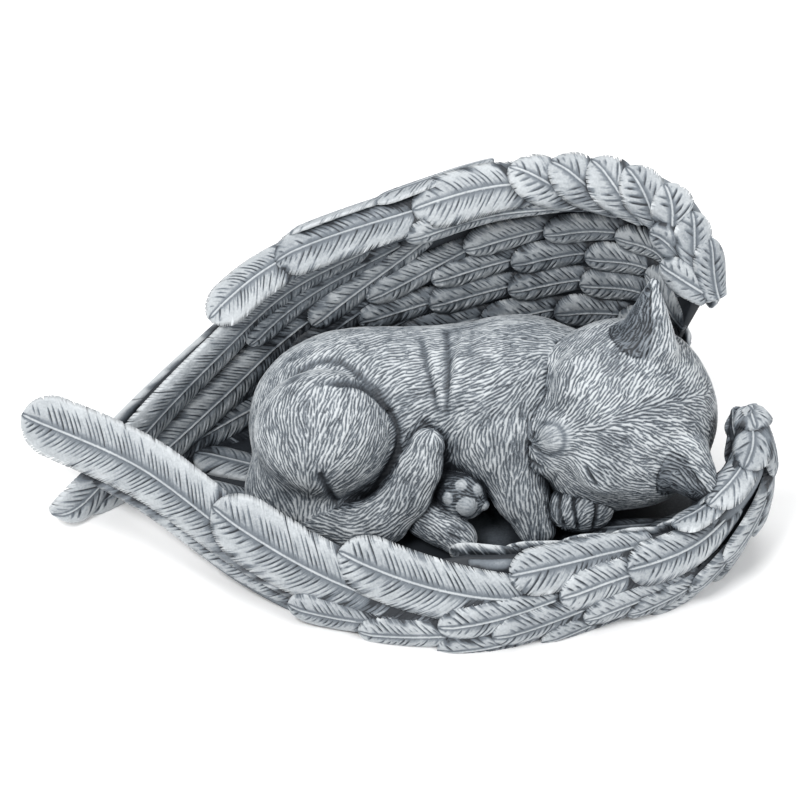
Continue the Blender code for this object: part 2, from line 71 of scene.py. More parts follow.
LOG = logging.getLogger("statue")

Points = np.ndarray
Place = tuple[float, float]


class Side(Enum):
    """The face of a wing that a feather lies on, as the sign of its normal toward +Y."""

    TOWARD_BACK = 1
    TOWARD_FRONT = -1


def unit_rows(rows: Points) -> Points:
    """Return each row at length one."""
    return rows / np.maximum(np.linalg.norm(rows, axis=-1, keepdims=True), 1e-9)


def unit_vector(vector: Iterable[float]) -> Points:
    """Return one vector at length one."""
    return unit_rows(np.asarray(list(vector), float))


def smooth_step(values: Points, low: float, high: float) -> Points:
    """Ease from 0 at low to 1 at high.

    Args:
        values: the numbers to ease.
        low: where the result is 0.
        high: where the result is 1.

    Returns:
        The eased numbers.
    """
    share = np.clip((values - low) / (high - low), 0, 1)
    return share * share * (3 - 2 * share)


def smooth_through(knots: Points, values: Points, at: Points) -> Points:
    """Read a smooth curve through values at knots.

    Args:
        knots: rising places of the values.
        values: one row for each knot.
        at: places to read.

    Returns:
        One row for each place.
    """
    slopes = np.gradient(values, knots, axis=0)
    left = np.clip(np.searchsorted(knots, at) - 1, 0, len(knots) - 2)
    gap = (knots[left + 1] - knots[left])[:, None]
    u = (at - knots[left])[:, None] / gap
    start = (2 * u**3 - 3 * u**2 + 1) * values[left] + (u**3 - 2 * u**2 + u) * slopes[left] * gap
    end = (3 * u**2 - 2 * u**3) * values[left + 1] + (u**3 - u**2) * slopes[left + 1] * gap
    return start + end


def read_points(mesh: bpy.types.Mesh) -> Points:
    """Return a mesh's points as rows, in metres."""
    values = np.empty(len(mesh.vertices) * 3)
    mesh.vertices.foreach_get("co", values)
    return values.reshape(-1, 3)


def write_points(mesh: bpy.types.Mesh, points: Points) -> None:
    """Give a mesh new points, in metres."""
    mesh.vertices.foreach_set("co", np.ascontiguousarray(points, float).ravel())
    mesh.update()


def read_normals(mesh: bpy.types.Mesh) -> Points:
    """Return the normals at a mesh's points."""
    values = np.empty(len(mesh.vertices) * 3, np.float32)
    mesh.vertex_normals.foreach_get("vector", values)
    return values.reshape(-1, 3).astype(float)


def write_value(mesh: bpy.types.Mesh, name: str, values: Points) -> None:
    """Store one number for each point of a mesh, under a name that a material can read."""
    layer = mesh.attributes.get(name) or mesh.attributes.new(name, "FLOAT", "POINT")
    layer.data.foreach_set("value", np.asarray(values, np.float32))


def deselect() -> None:
    """Leave nothing selected, so that the next operator acts on the new piece alone."""
    bpy.ops.object.select_all(action="DESELECT")


def join(pieces: Sequence[bpy.types.Object], name: str) -> bpy.types.Object:
    """Join pieces into one.

    Args:
        pieces: the objects to join.
        name: the name of the result.

    Returns:
        The joined object.
    """
    deselect()
    for piece in pieces:
        piece.select_set(True)
    bpy.context.view_layer.objects.active = pieces[0]
    if len(pieces) > 1:
        bpy.ops.object.join()
    whole = bpy.context.object
    whole.name = name
    whole.data.name = name
    deselect()
    return whole


def apply_modifier(piece: bpy.types.Object, kind: str, **settings: object) -> None:
    """Add a modifier of a kind with its settings, and apply it."""
    modifier = piece.modifiers.new(kind.title(), kind)
    for setting, value in settings.items():
        setattr(modifier, setting, value)
    bpy.context.view_layer.objects.active = piece
    bpy.ops.object.modifier_apply(modifier=modifier.name)


def lighten(piece: bpy.types.Object, most: int) -> None:
    """Collapse a piece's flattest faces until it has no more than so many triangles."""
    piece.data.calc_loop_triangles()
    triangles = len(piece.data.loop_triangles)
    if triangles > most:
        apply_modifier(piece, "DECIMATE", ratio=most / triangles)


def sphere_ring_places(mesh: bpy.types.Mesh, segments: int, rings: int) -> tuple[Points, Points]:
    """Find the ring and the segment of each point of a unit sphere.

    Args:
        mesh: the sphere's mesh.
        segments: how many points a ring has.
        rings: how many bands lie between the poles.

    Returns:
        The ring, 0 at the lower pole, and the segment, of each point.
    """
    points = read_points(mesh)
    ring = np.rint(np.arccos(np.clip(-points[:, 2], -1, 1)) / math.pi * rings).astype(int)
    turn = np.arctan2(points[:, 1], points[:, 0]) / (2 * math.pi)
    return ring, np.rint(turn * segments).astype(int) % segments


class Wall:
    """A wing's curved wall. s runs from the shoulder, 0, to the tips, 1, and t from the foot to the rim."""

    def __init__(self, columns: Sequence[tuple]) -> None:
        self.knots = np.array([column[0] for column in columns], float)
        self.foot, self.middle, self.rim = (
            np.array([column[k] for column in columns], float) for k in (1, 2, 3)
        )

    def point(self, s: Points, t: Points) -> Points:
        """Return the wall's points."""
        foot = smooth_through(self.knots, self.foot, s)
        middle = smooth_through(self.knots, self.middle, s)
        rim = smooth_through(self.knots, self.rim, s)
        control = 2 * middle - (foot + rim) / 2
        t = np.asarray(t, float)[:, None]
        return (1 - t) ** 2 * foot + 2 * t * (1 - t) * control + t**2 * rim

    def normal(self, s: Points, t: Points) -> Points:
        """Return the directions square to the wall, toward +Y."""
        along = self.point(s + SMALL_STEP, t) - self.point(s - SMALL_STEP, t)
        up = self.point(s, t + SMALL_STEP) - self.point(s, t - SMALL_STEP)
        return unit_rows(np.cross(along, up))


class Lip:
    """The rounded rim of a wing. t runs 0 on its +Y side, 0.5 on top, 1 on its -Y side."""

    def __init__(self, wall: Wall, radius: float, fade: float) -> None:
        self.wall, self.radius, self.fade = wall, radius, fade

    def radius_at(self, s: Points) -> Points:
        """Return the lip's radius, full near the shoulder and thin toward the tips."""
        return self.radius * np.interp(s, (0.0, self.fade, 1.0), (1.0, 1.0, 0.2))

    def normal(self, s: Points, t: Points) -> Points:
        """Return the directions square to the lip."""
        out = self.wall.normal(s, np.ones_like(s))
        rim = self.wall.point(s, np.ones_like(s))
        up = unit_rows(rim - self.wall.point(s, np.full_like(s, 0.9)))
        turn = (np.asarray(t, float) * math.pi)[:, None]
        return np.cos(turn) * out + np.sin(turn) * up

    def point(self, s: Points, t: Points) -> Points:
        """Return the lip's points."""
        rim = self.wall.point(s, np.ones_like(s))
        up = unit_rows(rim - self.wall.point(s, np.full_like(s, 0.9)))
        radius = self.radius_at(s)[:, None]
        return rim - up * radius + self.normal(s, t) * radius


# Wing walls as columns: s, then the foot, the middle and the rim
BACK_WALL = Wall((
    (0.00, (78, 36, -4), (86, 34, 50), (92, 17, 82)),
    (0.12, (70, 46, -4), (79, 47, 56), (84, 32, 100)),
    (0.25, (52, 52, -4), (59, 56, 56), (63, 44, 105)),
    (0.40, (26, 54, -4), (31, 58, 52), (33, 50, 100)),
    (0.55, (-4, 52, -4), (0, 56, 46), (3, 51, 87)),
    (0.70, (-34, 44, -4), (-36, 49, 36), (-38, 45, 70)),
    (0.82, (-58, 33, -4), (-60, 38, 26), (-60, 36, 53)),
    (0.92, (-82, 20, -3), (-83, 23, 15), (-83, 22, 33)),
    (1.00, (-106, 4, 0), (-106, 5, 3), (-106, 6, 6)),
))
FRONT_WALL = Wall((
    (0.00, (92, 12, -4), (109, 3, 28), (104, -1, 49)),
    (0.10, (94, -9, -4), (106, -14, 20), (103, -13, 38)),
    (0.20, (83, -25, -4), (90, -30, 13.5), (89, -25, 25)),
    (0.35, (56, -39, -4), (58, -42, 12), (58, -34, 22)),
    (0.50, (20, -49, -4), (20, -50, 12), (20, -40, 23)),
    (0.62, (-14, -43, -2), (-12, -43, 13), (-7, -35, 27)),
    (0.75, (-47, -29, 5), (-45, -27, 16), (-41, -18, 29.5)),
    (0.88, (-81, -1, 13), (-79, 2, 20), (-77, 8, 28)),
    (1.00, (-110, 17, 22), (-112, 19, 26), (-111, 23, 31)),
))
FLOOR_BED = Wall((
    (0.0, (92, -50, 6.5), (92, 0, 6.5), (92, 50, 6.5)),
    (1.0, (-78, -50, 6.5), (-78, 0, 6.5), (-78, 50, 6.5)),
))
BACK_LIP = Lip(BACK_WALL, 7.5, 0.35)
FRONT_LIP = Lip(FRONT_WALL, 4.8, 0.12)
TALL_RIM = ((0.56, 0.68), (1.0, 0.84))
LOW_RIM = ((0.50, 0.64), (1.0, 0.74))
WALL_THICKNESS = 5.2
FLOOR_THICKNESS = 6.5
GROUND_GAP = 0.05
VANES = 2
UNDER_STRIPS = 3
# How much shorter and lower the outer flight feathers lie than the inner ones, as places on the wall
OUTER_SHORTER = 0.04
OUTER_LOWER = 0.13
# A feather over the lip is tucked in where its tip lies behind the lip, and lifts more near the shoulder
BEHIND_LIP = 0.36
TUCKED_BASE, OPEN_BASE = 2.2, 0.4
SHORT_BELOW = 0.42
SHORT_LIFT, LONG_LIFT = 3.0, 2.4
# The most triangles for each of the kitten's pieces, and the share of a feather group's that is kept
KITTEN_MOST = (190_000, 175_000, 40_000, 26_000, 17_000)
FEATHER_SHARE = 0.68


@dataclass(frozen=True)
class Carving:
    """How finely a group of feathers is cut."""

    barb_pitch: float = 1.5
    rows_per_barb: int = 5
    strips: int = 6
    depth: float = 0.42
    quill_width: float = 0.5
    camber: float = 1.2
    sweep: float = 0.85
    shallow_share: float = 0.15
    split_share: float = 0.02
    tone_spread: float = 0.05


@dataclass(frozen=True)
class Feather:
    """One feather lying on a wing, from its root to its tip, both as (s, t) places on the surface."""

    surface: Wall | Lip
    side: Side
    tip: Place
    root: Place
    half_width: float
    base: float = 2.4
    lift: float = 3.0
    bow: float = 0.0
    thickness: float = 2.6

    def path(self, along: Points) -> tuple[Points, Points]:
        """Return the places on the surface along the quill, 0 at the root and 1 at the tip."""
        s = self.root[0] + (self.tip[0] - self.root[0]) * along
        t = self.root[1] + (self.tip[1] - self.root[1]) * along + self.bow * 4 * along * (1 - along)
        return s, t

    def length(self) -> float:
        """Return the feather's length along its quill."""
        line = self.surface.point(*self.path(np.linspace(0, 1, 25)))
        return float(np.linalg.norm(np.diff(line, axis=0), axis=1).sum())

    def lay(self, along: Points, across: Points, height: Points) -> Points:
        """Lay points of the blade on the wing.

        Args:
            along: the share of the quill's length, for each ring and segment.
            across: distance to the side of the quill.
            height: height over the feather's bed.

        Returns:
            Points in the same table.
        """
        flat = along.ravel()
        centre = self.surface.point(*self.path(flat))
        normal = self.surface.normal(*self.path(flat)) * self.side.value
        after, before = (self.surface.point(*self.path(flat + step)) for step in (SMALL_STEP, -SMALL_STEP))
        ahead = after - before
        sideways = unit_rows(np.cross(ahead, normal))
        rise = self.base + self.lift * flat + height.ravel()
        points = centre + sideways * across.ravel()[:, None] + normal * rise[:, None]
        points[:, 2] = np.maximum(points[:, 2], GROUND_GAP)
        return points.reshape(along.shape + (3,))


@dataclass(frozen=True)
class Barbs:
    """The grooves between one vane's barbs, one number for each row of points."""

    depth: Points
    split: Points
    start: Points
    reach: Points


@dataclass(frozen=True)
class FormedTable:
    """Values for the rings and segments of a sphere, with one more value for each pole."""

    rows: Points
    start: Points | float
    end: Points | float


def formed_sphere(name: str, places: FormedTable, values: dict[str, FormedTable]) -> bpy.types.Object:
    """Shape a sphere into a closed form whose rings are the rows of a table.

    Args:
        name: the piece's name.
        places: where the points go, in millimetres.
        values: numbers to store at the points, by the name that a material reads.

    Returns:
        The piece.
    """
    rings, segments = places.rows.shape[0] + 1, places.rows.shape[1]
    bpy.ops.mesh.primitive_uv_sphere_add(segments=segments, ring_count=rings, radius=1)
    piece = bpy.context.object
    piece.name = name
    ring, segment = sphere_ring_places(piece.data, segments, rings)
    inner = (ring > 0) & (ring < rings)
    points = np.where((ring == 0)[:, None], places.start, places.end)
    points[inner] = places.rows[ring[inner] - 1, segment[inner]]
    write_points(piece.data, points * UNIT)
    for key, table in values.items():
        numbers = np.where(ring == 0, table.start, table.end).astype(float)
        numbers[inner] = table.rows[ring[inner] - 1, segment[inner]]
        write_value(piece.data, key, numbers)
    return piece


class FeatherCarver:
    """Cuts feathers: blade outline, quill, barbs and splits."""

    def __init__(self, carving: Carving, seed: int) -> None:
        self.carving = carving
        self.random = np.random.default_rng(seed)

    def cut(self, feather: Feather) -> bpy.types.Object:
        """Cut one feather out of a sphere whose poles are its root and its tip.

        Args:
            feather: where it lies and how wide it is.

        Returns:
            The closed feather, with its relief stored at its points.
        """
        carving = self.carving
        length = feather.length()
        barbs = max(8, int(length / carving.barb_pitch))
        outline, half = self._outline(feather, length, barbs * carving.rows_per_barb)
        vanes = [self._vane(half, self._barbs(len(outline), barbs)) for _ in range(VANES)]
        quill_column = vanes[0][0].shape[1] - 1
        across, height, relief = (
            np.concatenate([left[:, :0:-1] * sign, right], axis=1)
            for left, right, sign in zip(*vanes, (-1, 1, 1))
        )
        under = np.linspace(1, -1, UNDER_STRIPS + 2)[1:-1][None, :] * half[:, None] * 0.93
        across = np.concatenate([across, under], axis=1)
        share = np.clip(np.abs(across) / np.maximum(half[:, None], 1e-6), 0, 1)
        full = np.clip(half / feather.half_width * 1.6, 0.25, 1)[:, None]
        bulge = feather.thickness * full * 0.5 * (0.35 + 0.65 * np.sqrt(1 - 0.98 * share**2))
        on_top = 2 * quill_column + 1
        height = np.concatenate([height + bulge[:, :on_top], -bulge[:, on_top:]], axis=1)
        height -= carving.camber * share**2 * np.clip(half / feather.half_width, 0, 1)[:, None]
        relief = np.concatenate([relief, np.full(under.shape, 0.2)], axis=1)
        sweep = np.minimum(carving.sweep * half / length, 0.6 * outline)[:, None]
        places = feather.lay(outline[:, None] - sweep * (1 - share**1.35), across, height)
        ends = feather.lay(np.array([[0.0], [1.0]]), np.zeros((2, 1)), np.zeros((2, 1)))[:, 0]
        shade = self.random.uniform(-carving.tone_spread, carving.tone_spread)
        values = {
            "relief": FormedTable(relief, 0.45, 0.6),
            "tone": FormedTable(np.full(relief.shape, shade), shade, shade),
        }
        return formed_sphere("feather", FormedTable(places, ends[0], ends[1]), values)

    def _outline(self, feather: Feather, length: float, rings: int) -> tuple[Points, Points]:
        """Find where each row of points meets the blade's edge.

        Args:
            feather: the feather.
            length: its length.
            rings: how many bands of points it has.

        Returns:
            The share of the length and the half width, for each row.
        """
        width = feather.half_width
        tip_radius = min(width * 1.1, length * 0.45)
        arc = tip_radius * math.pi / 2
        step = np.arange(1, rings) / rings * (length - tip_radius + arc)
        straight = length - tip_radius
        turn = np.clip((step - straight) / arc, 0, 1) * math.pi / 2
        outline = np.where(step < straight, step, straight + tip_radius * np.sin(turn)) / length
        half = width * (0.62 + 0.38 * np.sin(outline * 1.95)) * np.cos(turn)
        return outline, half * smooth_step(outline, -0.04, 0.05)

    def _barbs(self, rows: int, barbs: int) -> Barbs:
        """Choose the grooves between one vane's barbs.

        Args:
            rows: how many rows of points the blade has.
            barbs: how many barbs the vane has.

        Returns:
            The grooves' and splits' depth, and how far out the grooves run.
        """
        count = self.carving.rows_per_barb
        phase = np.arange(rows) % count
        hollow = np.where(phase == 0, 1.0, np.where(phase == 1, 0.35, 0.0)) - 0.22 * (phase == count - 1)
        barb = np.minimum(np.arange(rows) // count, barbs - 1)
        cut = self.random.uniform(0.45, 1.0, barbs)
        cut *= np.where(self.random.random(barbs) < self.carving.shallow_share, 0.2, 1.0)
        deep = (self.random.random(barbs) < self.carving.split_share) * 1.0
        start, reach = self.random.uniform(0.5, 2.6, barbs), self.random.uniform(0.50, 0.84, barbs)
        return Barbs(cut[barb] * hollow, deep[barb] * (phase == 0), start[barb], reach[barb])

    def _vane(self, half: Points, barbs: Barbs) -> tuple[Points, Points, Points]:
        """Shape one vane from the quill to its edge.

        Args:
            half: the vane's width at each row.
            barbs: its grooves.

        Returns:
            Distance from the quill, height and relief, one column for each strip.
        """
        carving = self.carving
        fixed = np.array([0.0, 0.5, 1.0, 1.7]) * carving.quill_width
        taper = np.minimum(1.0, half / (fixed[-1] * 2.2))[:, None]
        near = fixed[None, :] * taper
        shares = np.linspace(0, 1, carving.strips + 1)[1:]
        far = near[:, -1:] + (half[:, None] - near[:, -1:]) * shares[None, :]
        offset = np.concatenate([near, far], axis=1)
        share = offset / np.maximum(half[:, None], 1e-6)
        reach, split = barbs.reach[:, None], barbs.split[:, None]
        fade = smooth_step(offset - barbs.start[:, None], -0.4, 0.5)
        fade *= 1 - smooth_step(share - reach, -0.16, 0.04)
        groove = np.maximum(barbs.depth[:, None] * fade, split * smooth_step(share, 0.25, 0.6))
        quill = np.exp(-((offset / (0.62 * carving.quill_width * taper)) ** 2))
        trench = np.exp(-(((offset - 1.3 * carving.quill_width * taper) / (0.5 * carving.quill_width)) ** 2))
        edge = smooth_step(share, 0.86, 1.0)
        height = 0.35 * np.sin(share * math.pi) + 0.3 * quill - 0.3 * trench
        height = height - carving.depth * groove - 0.3 * edge
        relief = 0.46 + 0.12 * share - 0.84 * groove - 0.40 * trench + 0.16 * quill + 0.3 * edge * (1 - split)
        return offset - split * edge * 0.7, height, relief


def feather_row(
    surface: Wall | Lip, side: Side, first: Place, step: Place, count: int, reach: Place, half_width: float
) -> list[Feather]:
    """Lay feathers at an even step along a row, each reaching back to its root by the same amount.

    Args:
        surface: the wall or lip that they lie on.
        side: the face of the wing.
        first: the place of the first tip.
        step: from one tip to the next.
        count: how many feathers.
        reach: from a tip to its root.
        half_width: half the width of each.

    Returns:
        The row.
    """
    row = []
    for number in range(count):
        tip = (first[0] + number * step[0], first[1] + number * step[1])
        row.append(Feather(surface, side, tip, (tip[0] + reach[0], tip[1] + reach[1]), half_width))
    return row


@dataclass(frozen=True)
class Ball:
    """An ellipsoid of clay. Its radii lie along the rows of axes."""

    centre: tuple[float, float, float] | Points
    radii: tuple[float, float, float]
    axes: Points = field(default_factory=lambda: np.eye(3))
    blend: float = 0.0
    carve: bool = False

    def distance(self, points: Points) -> Points:
        """Return roughly how far the points lie outside the ellipsoid."""
        radii = np.array(self.radii, float)
        local = (points - np.array(self.centre, float)) @ self.axes.T
        first = np.linalg.norm(local / radii, axis=1)
        second = np.linalg.norm(local / radii**2, axis=1)
        return first * (first - 1) / np.maximum(second, 1e-9)

    def beads(self) -> list[tuple[Points, Points, Points]]:
        """Return the spheres that the lump is first built from: centre, radii and axes."""
        return [(np.array(self.centre, float), np.array(self.radii, float), self.axes)]


@dataclass(frozen=True)
class Limb:
    """A round limb of clay between two points, each with its radius. It may be flattened one way."""

    start: tuple[float, float, float] | Points
    end: tuple[float, float, float] | Points
    start_radius: float
    end_radius: float
    blend: float = 0.0
    flat: Points | None = None
    flatness: float = 1.0
    carve: bool = False

    def distance(self, points: Points) -> Points:
        """Return roughly how far the points lie outside the limb."""
        start = np.array(self.start, float)
        line = np.array(self.end, float) - start
        offset = points - start
        share = np.clip(offset @ line / (line @ line), 0, 1)
        offset = offset - share[:, None] * line
        if self.flat is not None:
            offset = offset + np.outer(offset @ self.flat, self.flat) * (1 / self.flatness - 1)
        radius = self.start_radius + (self.end_radius - self.start_radius) * share
        reach = np.linalg.norm(offset, axis=1) - radius
        return reach * (self.flatness if self.flat is not None else 1.0)

    def beads(self) -> list[tuple[Points, Points, Points]]:
        """Return the spheres that the limb is first built from: centre, radii and axes."""
        start, end = np.array(self.start, float), np.array(self.end, float)
        count = max(2, int(np.linalg.norm(end - start) / (min(self.start_radius, self.end_radius) * 0.5)) + 1)
        axes = np.eye(3)
        if self.flat is not None:
            edge = unit_vector(np.cross(self.flat, (0.3, 0.5, 0.8)))
            axes = np.array([edge, np.cross(self.flat, edge), self.flat])
        beads = []
        for share in np.linspace(0, 1, count):
            radius = self.start_radius + (self.end_radius - self.start_radius) * share
            radii = np.array([radius, radius, radius * self.flatness])
            beads.append((start + (end - start) * share, radii, axes))
        return beads


Lump = Ball | Limb
SKIN_PROBE = 0.15
LONGEST_PULL = 2
SKIN_PASSES = 4
REFINED_PASSES = 2


def smooth_min(first: Points, second: Points, blend: float) -> Points:
    """Return the nearer of two distances, rounded where they meet."""
    if blend <= 0:
        return np.minimum(first, second)
    share = np.maximum(blend - np.abs(first - second), 0) / blend
    return np.minimum(first, second) - share**2 * blend / 4


def clay(lumps: Sequence[Lump], points: Points) -> Points:
    """Return the distance to lumps of clay pressed together."""
    distance = lumps[0].distance(points)
    for lump in lumps[1:]:
        if lump.carve:
            distance = -smooth_min(-distance, lump.distance(points), lump.blend)
        else:
            distance = smooth_min(distance, lump.distance(points), lump.blend)
    return distance


def draw_to_skin(piece: bpy.types.Object, lumps: Sequence[Lump], passes: int) -> None:
    """Draw a piece's points onto the rounded skin of its lumps."""
    points = read_points(piece.data) / UNIT
    corners = np.array([(1, -1, -1), (-1, -1, 1), (-1, 1, -1), (1, 1, 1)], float)
    for _ in range(passes):
        slope = sum(corner * clay(lumps, points + SKIN_PROBE * corner)[:, None] for corner in corners)
        pull = np.clip(clay(lumps, points), -LONGEST_PULL, LONGEST_PULL)
        points = points - unit_rows(slope) * pull[:, None]
    write_points(piece.data, points * UNIT)


# The view that the statue is made to be seen from, and the head's own directions in it
VIEW_TILT = math.radians(38)
VIEW_UP = np.array((0.0, math.sin(VIEW_TILT), math.cos(VIEW_TILT)))
TO_VIEWER = np.array((0.0, -math.cos(VIEW_TILT), math.sin(VIEW_TILT)))
VIEW_FOOT = -55.0
SKULL = np.array((68.0, 8.3, 39.1))
NOD = math.radians(33)
IN_VIEW = unit_vector((-0.957, -0.29 * math.sin(VIEW_TILT), -0.29 * math.cos(VIEW_TILT)))
NOSEWARD = math.cos(NOD) * IN_VIEW + math.sin(NOD) * TO_VIEWER
CROWNWARD = math.cos(NOD) * TO_VIEWER - math.sin(NOD) * IN_VIEW
EARWARD = -np.cross(NOSEWARD, CROWNWARD)
HEAD_AXES = np.array((NOSEWARD, EARWARD, CROWNWARD))
HIND_PAW = np.array((19.5, -11.0, 22.0))
# The pads lie on a ball round the paw, sunk into it
PAD_BALL_SQUARED = 44.0
PAD_SINK = 1.0
COMB_REACH = 12.0
# A skin is refined where it faces the viewer or the sky, stands clear of the floor and isn't covered
FACING_LEAST, SKYWARD_LEAST, REFINED_ABOVE, COVER_GAP = -0.1, 0.3, 5, 0.3
EAR_SIDES = (1, -1)


def on_head(nose: float, ear: float, crown: float) -> Points:
    """Return a point of the head from its distances along the head's own directions."""
    return SKULL + np.array((nose, ear, crown)) @ HEAD_AXES


def seen(points: Points) -> Points:
    """Return where points stand in the front view: right of the middle, and above the front foot."""
    points = np.atleast_2d(points)
    up = (points[:, 1] - VIEW_FOOT) * VIEW_UP[1] + points[:, 2] * VIEW_UP[2]
    return np.stack([points[:, 0], up], axis=1)


@dataclass(frozen=True)
class Crease:
    """A carved line, as places in the front view, with its depth and half width."""

    line: Sequence[Place] | Points
    depth: float = 0.8
    half_width: float = 0.5

    def cut(self, places: Points) -> Points:
        """Return how deep the line cuts at places of the front view."""
        knots = np.asarray(self.line, float)
        steps = np.linspace(0, len(knots) - 1, 12 * (len(knots) - 1) + 1)
        if len(knots) > 2:
            line = smooth_through(np.arange(len(knots), dtype=float), knots, steps)
        else:
            line = knots[0] + (knots[1] - knots[0]) * steps[:, None]
        near = np.full(len(places), np.inf)
        where = np.zeros(len(places))
        for number, (start, end) in enumerate(zip(line[:-1], line[1:])):
            span = end - start
            share = np.clip((places - start) @ span / max(span @ span, 1e-9), 0, 1)
            gap = np.linalg.norm(places - start - share[:, None] * span, axis=1)
            closer = gap < near
            near[closer] = gap[closer]
            where[closer] = (number + share[closer]) / (len(line) - 1)
        fade = smooth_step(np.minimum(where, 1 - where), -0.02, 0.12)
        return self.depth * fade * np.exp(-((near / self.half_width) ** 2))


@dataclass(frozen=True)
class Coat:
    """How fur is combed: the strokes' length, the pitch across them, their half width and their depth."""

    length: float = 4.2
    pitch: float = 0.92
    half_width: float = 0.28
    depth: float = 0.52
    wander: float = 0.36


Flow = Callable[[Points], Points]


class FurCarver:
    """Cuts strokes of fur into a skin along its flow, and carved lines into the strokes."""

    def __init__(self, seed: int) -> None:
        self.random = np.random.default_rng(seed)

    def carve(
        self, piece: bpy.types.Object, flow: Flow, coat: Coat, creases: Sequence[Crease] = (),
        bare: Callable[[Points], Points] | None = None, dark: Callable[[Points], Points] | None = None,
    ) -> None:
        """Carve a piece and store its relief, 0 in a groove and 1 on a ridge.

        Args:
            piece: the skin, with points as fine as the strokes.
            flow: the fur's direction at points.
            coat: the strokes' sizes.
            creases: carved lines.
            bare: how bare of fur points are, 0 to 1.
            dark: how much darker points are painted, 0 to 1.
        """
        points = read_points(piece.data) / UNIT
        normals = read_normals(piece.data)
        way = flow(points)
        swirl = coat.wander * self._swirl(points)
        way = unit_rows(way - normals * np.sum(way * normals, axis=1, keepdims=True))
        side = np.cross(normals, way)
        way = way * np.cos(swirl)[:, None] + side * np.sin(swirl)[:, None]
        groove = self._strokes(points, normals, way, coat)
        swell = self._swirl(points * 0.8 + 40.0)
        amount = 1.0 if bare is None else 1 - bare(points)
        groove = groove * amount
        facing = smooth_step(normals @ TO_VIEWER, -0.05, 0.25)
        line = np.zeros(len(points))
        for crease in creases:
            line += crease.cut(seen(points)) * facing
        rise = coat.depth * (0.25 - groove) + 0.16 * swell - line
        write_points(piece.data, (points + normals * rise[:, None]) * UNIT)
        relief = np.clip(0.64 - 1.0 * groove**1.3 + 0.06 * swell - 0.7 * np.clip(line, -0.15, 1), 0, 1)
        write_value(piece.data, "relief", relief)
        # Points are painted darker here: painted shade in the ear hollows, and darker tone on the nose and
        # round the pads
        wash_and_shade = 0.0 if dark is None else dark(points)
        write_value(piece.data, "tone", 0.05 * swell - 0.5 * wash_and_shade)

    def _swirl(self, points: Points) -> Points:
        """Return a smooth random wave over points, between -1 and 1."""
        total = np.zeros(len(points))
        for scale in (0.16, 0.31, 0.55):
            for _ in range(3):
                direction = unit_vector(self.random.normal(size=3))
                total += np.sin(points @ direction * scale * 2 + self.random.uniform(0, 6.3))
        return np.clip(total / 4.5, -1, 1)

    def _strokes(self, points: Points, normals: Points, way: Points, coat: Coat) -> Points:
        """Stamp grooves along the flow, none closer to another than the coat's pitch.

        Args:
            points: the skin's points.
            normals: the skin's directions outward.
            way: the fur's directions.
            coat: the strokes' sizes.

        Returns:
            For each point, 0 on a ridge and 1 at the bottom of a groove.
        """
        tree = KDTree(len(points))
        for number, point in enumerate(points.tolist()):
            tree.insert(point, number)
        tree.balance()
        free = np.ones(len(points), bool)
        groove = np.zeros(len(points))
        for centre in self.random.permutation(len(points)):
            if not free[centre]:
                continue
            length = coat.length * self.random.uniform(0.6, 1.35)
            found = tree.find_range(points[centre].tolist(), length * 0.62)
            near = np.fromiter((item[1] for item in found), int, len(found))
            near = near[normals[near] @ normals[centre] > 0.2]
            offset = points[near] - points[centre]
            along = offset @ way[centre]
            across = offset @ np.cross(normals[centre], way[centre])
            free[near[(along / (0.46 * length)) ** 2 + (across / coat.pitch) ** 2 < 1]] = False
            reach = np.clip(1 - (2 * along / length) ** 2, 0, 1)
            across = across + 0.05 * along**2 * self.random.uniform(-0.5, 0.5)
            cut = np.sqrt(reach) * np.exp(-((across / (coat.half_width * (0.5 + 0.5 * reach))) ** 2))
            groove[near] = np.maximum(groove[near], cut * self.random.uniform(0.65, 1.0))
        return groove


def clay_piece(name: str, lumps: Sequence[Lump], grain: float) -> bpy.types.Object:
    """Model lumps of clay: join spheres, remesh them and draw the points onto the clay's skin.

    Args:
        name: the piece's name.
        lumps: the clay.
        grain: the distance between points where the piece is hidden. A skin halves it later where it is seen.

    Returns:
        The piece, its skin smooth.
    """
    spheres = []
    for lump in lumps:
        for centre, radii, axes in [] if lump.carve else lump.beads():
            bpy.ops.mesh.primitive_uv_sphere_add(segments=20, ring_count=12, radius=1)
            sphere = bpy.context.object
            write_points(sphere.data, ((read_points(sphere.data) * radii) @ axes + centre) * UNIT)
            spheres.append(sphere)
    piece = join(spheres, name)
    for _ in range(2 if any(lump.carve for lump in lumps) else 1):
        apply_modifier(piece, "REMESH", mode="VOXEL", voxel_size=grain * UNIT)
        draw_to_skin(piece, lumps, SKIN_PASSES)
    return piece


def refine(piece: bpy.types.Object, wanted: Points) -> None:
    """Halve the faces that are wanted, chosen by their numbers."""
    mesh = piece.data
    mesh.polygons.foreach_set("select", np.zeros(len(mesh.polygons), bool))
    deselect()
    piece.select_set(True)
    bpy.context.view_layer.objects.active = piece
    bpy.ops.object.mode_set(mode="EDIT")
    bpy.ops.mesh.select_mode(type="FACE")
    bpy.ops.mesh.select_all(action="DESELECT")
    bpy.ops.object.mode_set(mode="OBJECT")
    mesh.polygons.foreach_set("select", wanted)
    bpy.ops.object.mode_set(mode="EDIT")
    bpy.ops.mesh.subdivide(number_cuts=1)
    bpy.ops.object.mode_set(mode="OBJECT")
    deselect()


def face_rows(mesh: bpy.types.Mesh) -> tuple[Points, Points]:
    """Return the centres, in millimetres, and the normals of a mesh's faces."""
    centres = np.empty(len(mesh.polygons) * 3)
    mesh.polygons.foreach_get("center", centres)
    normals = np.empty(len(mesh.polygons) * 3)
    mesh.polygons.foreach_get("normal", normals)
    return centres.reshape(-1, 3) / UNIT, normals.reshape(-1, 3)


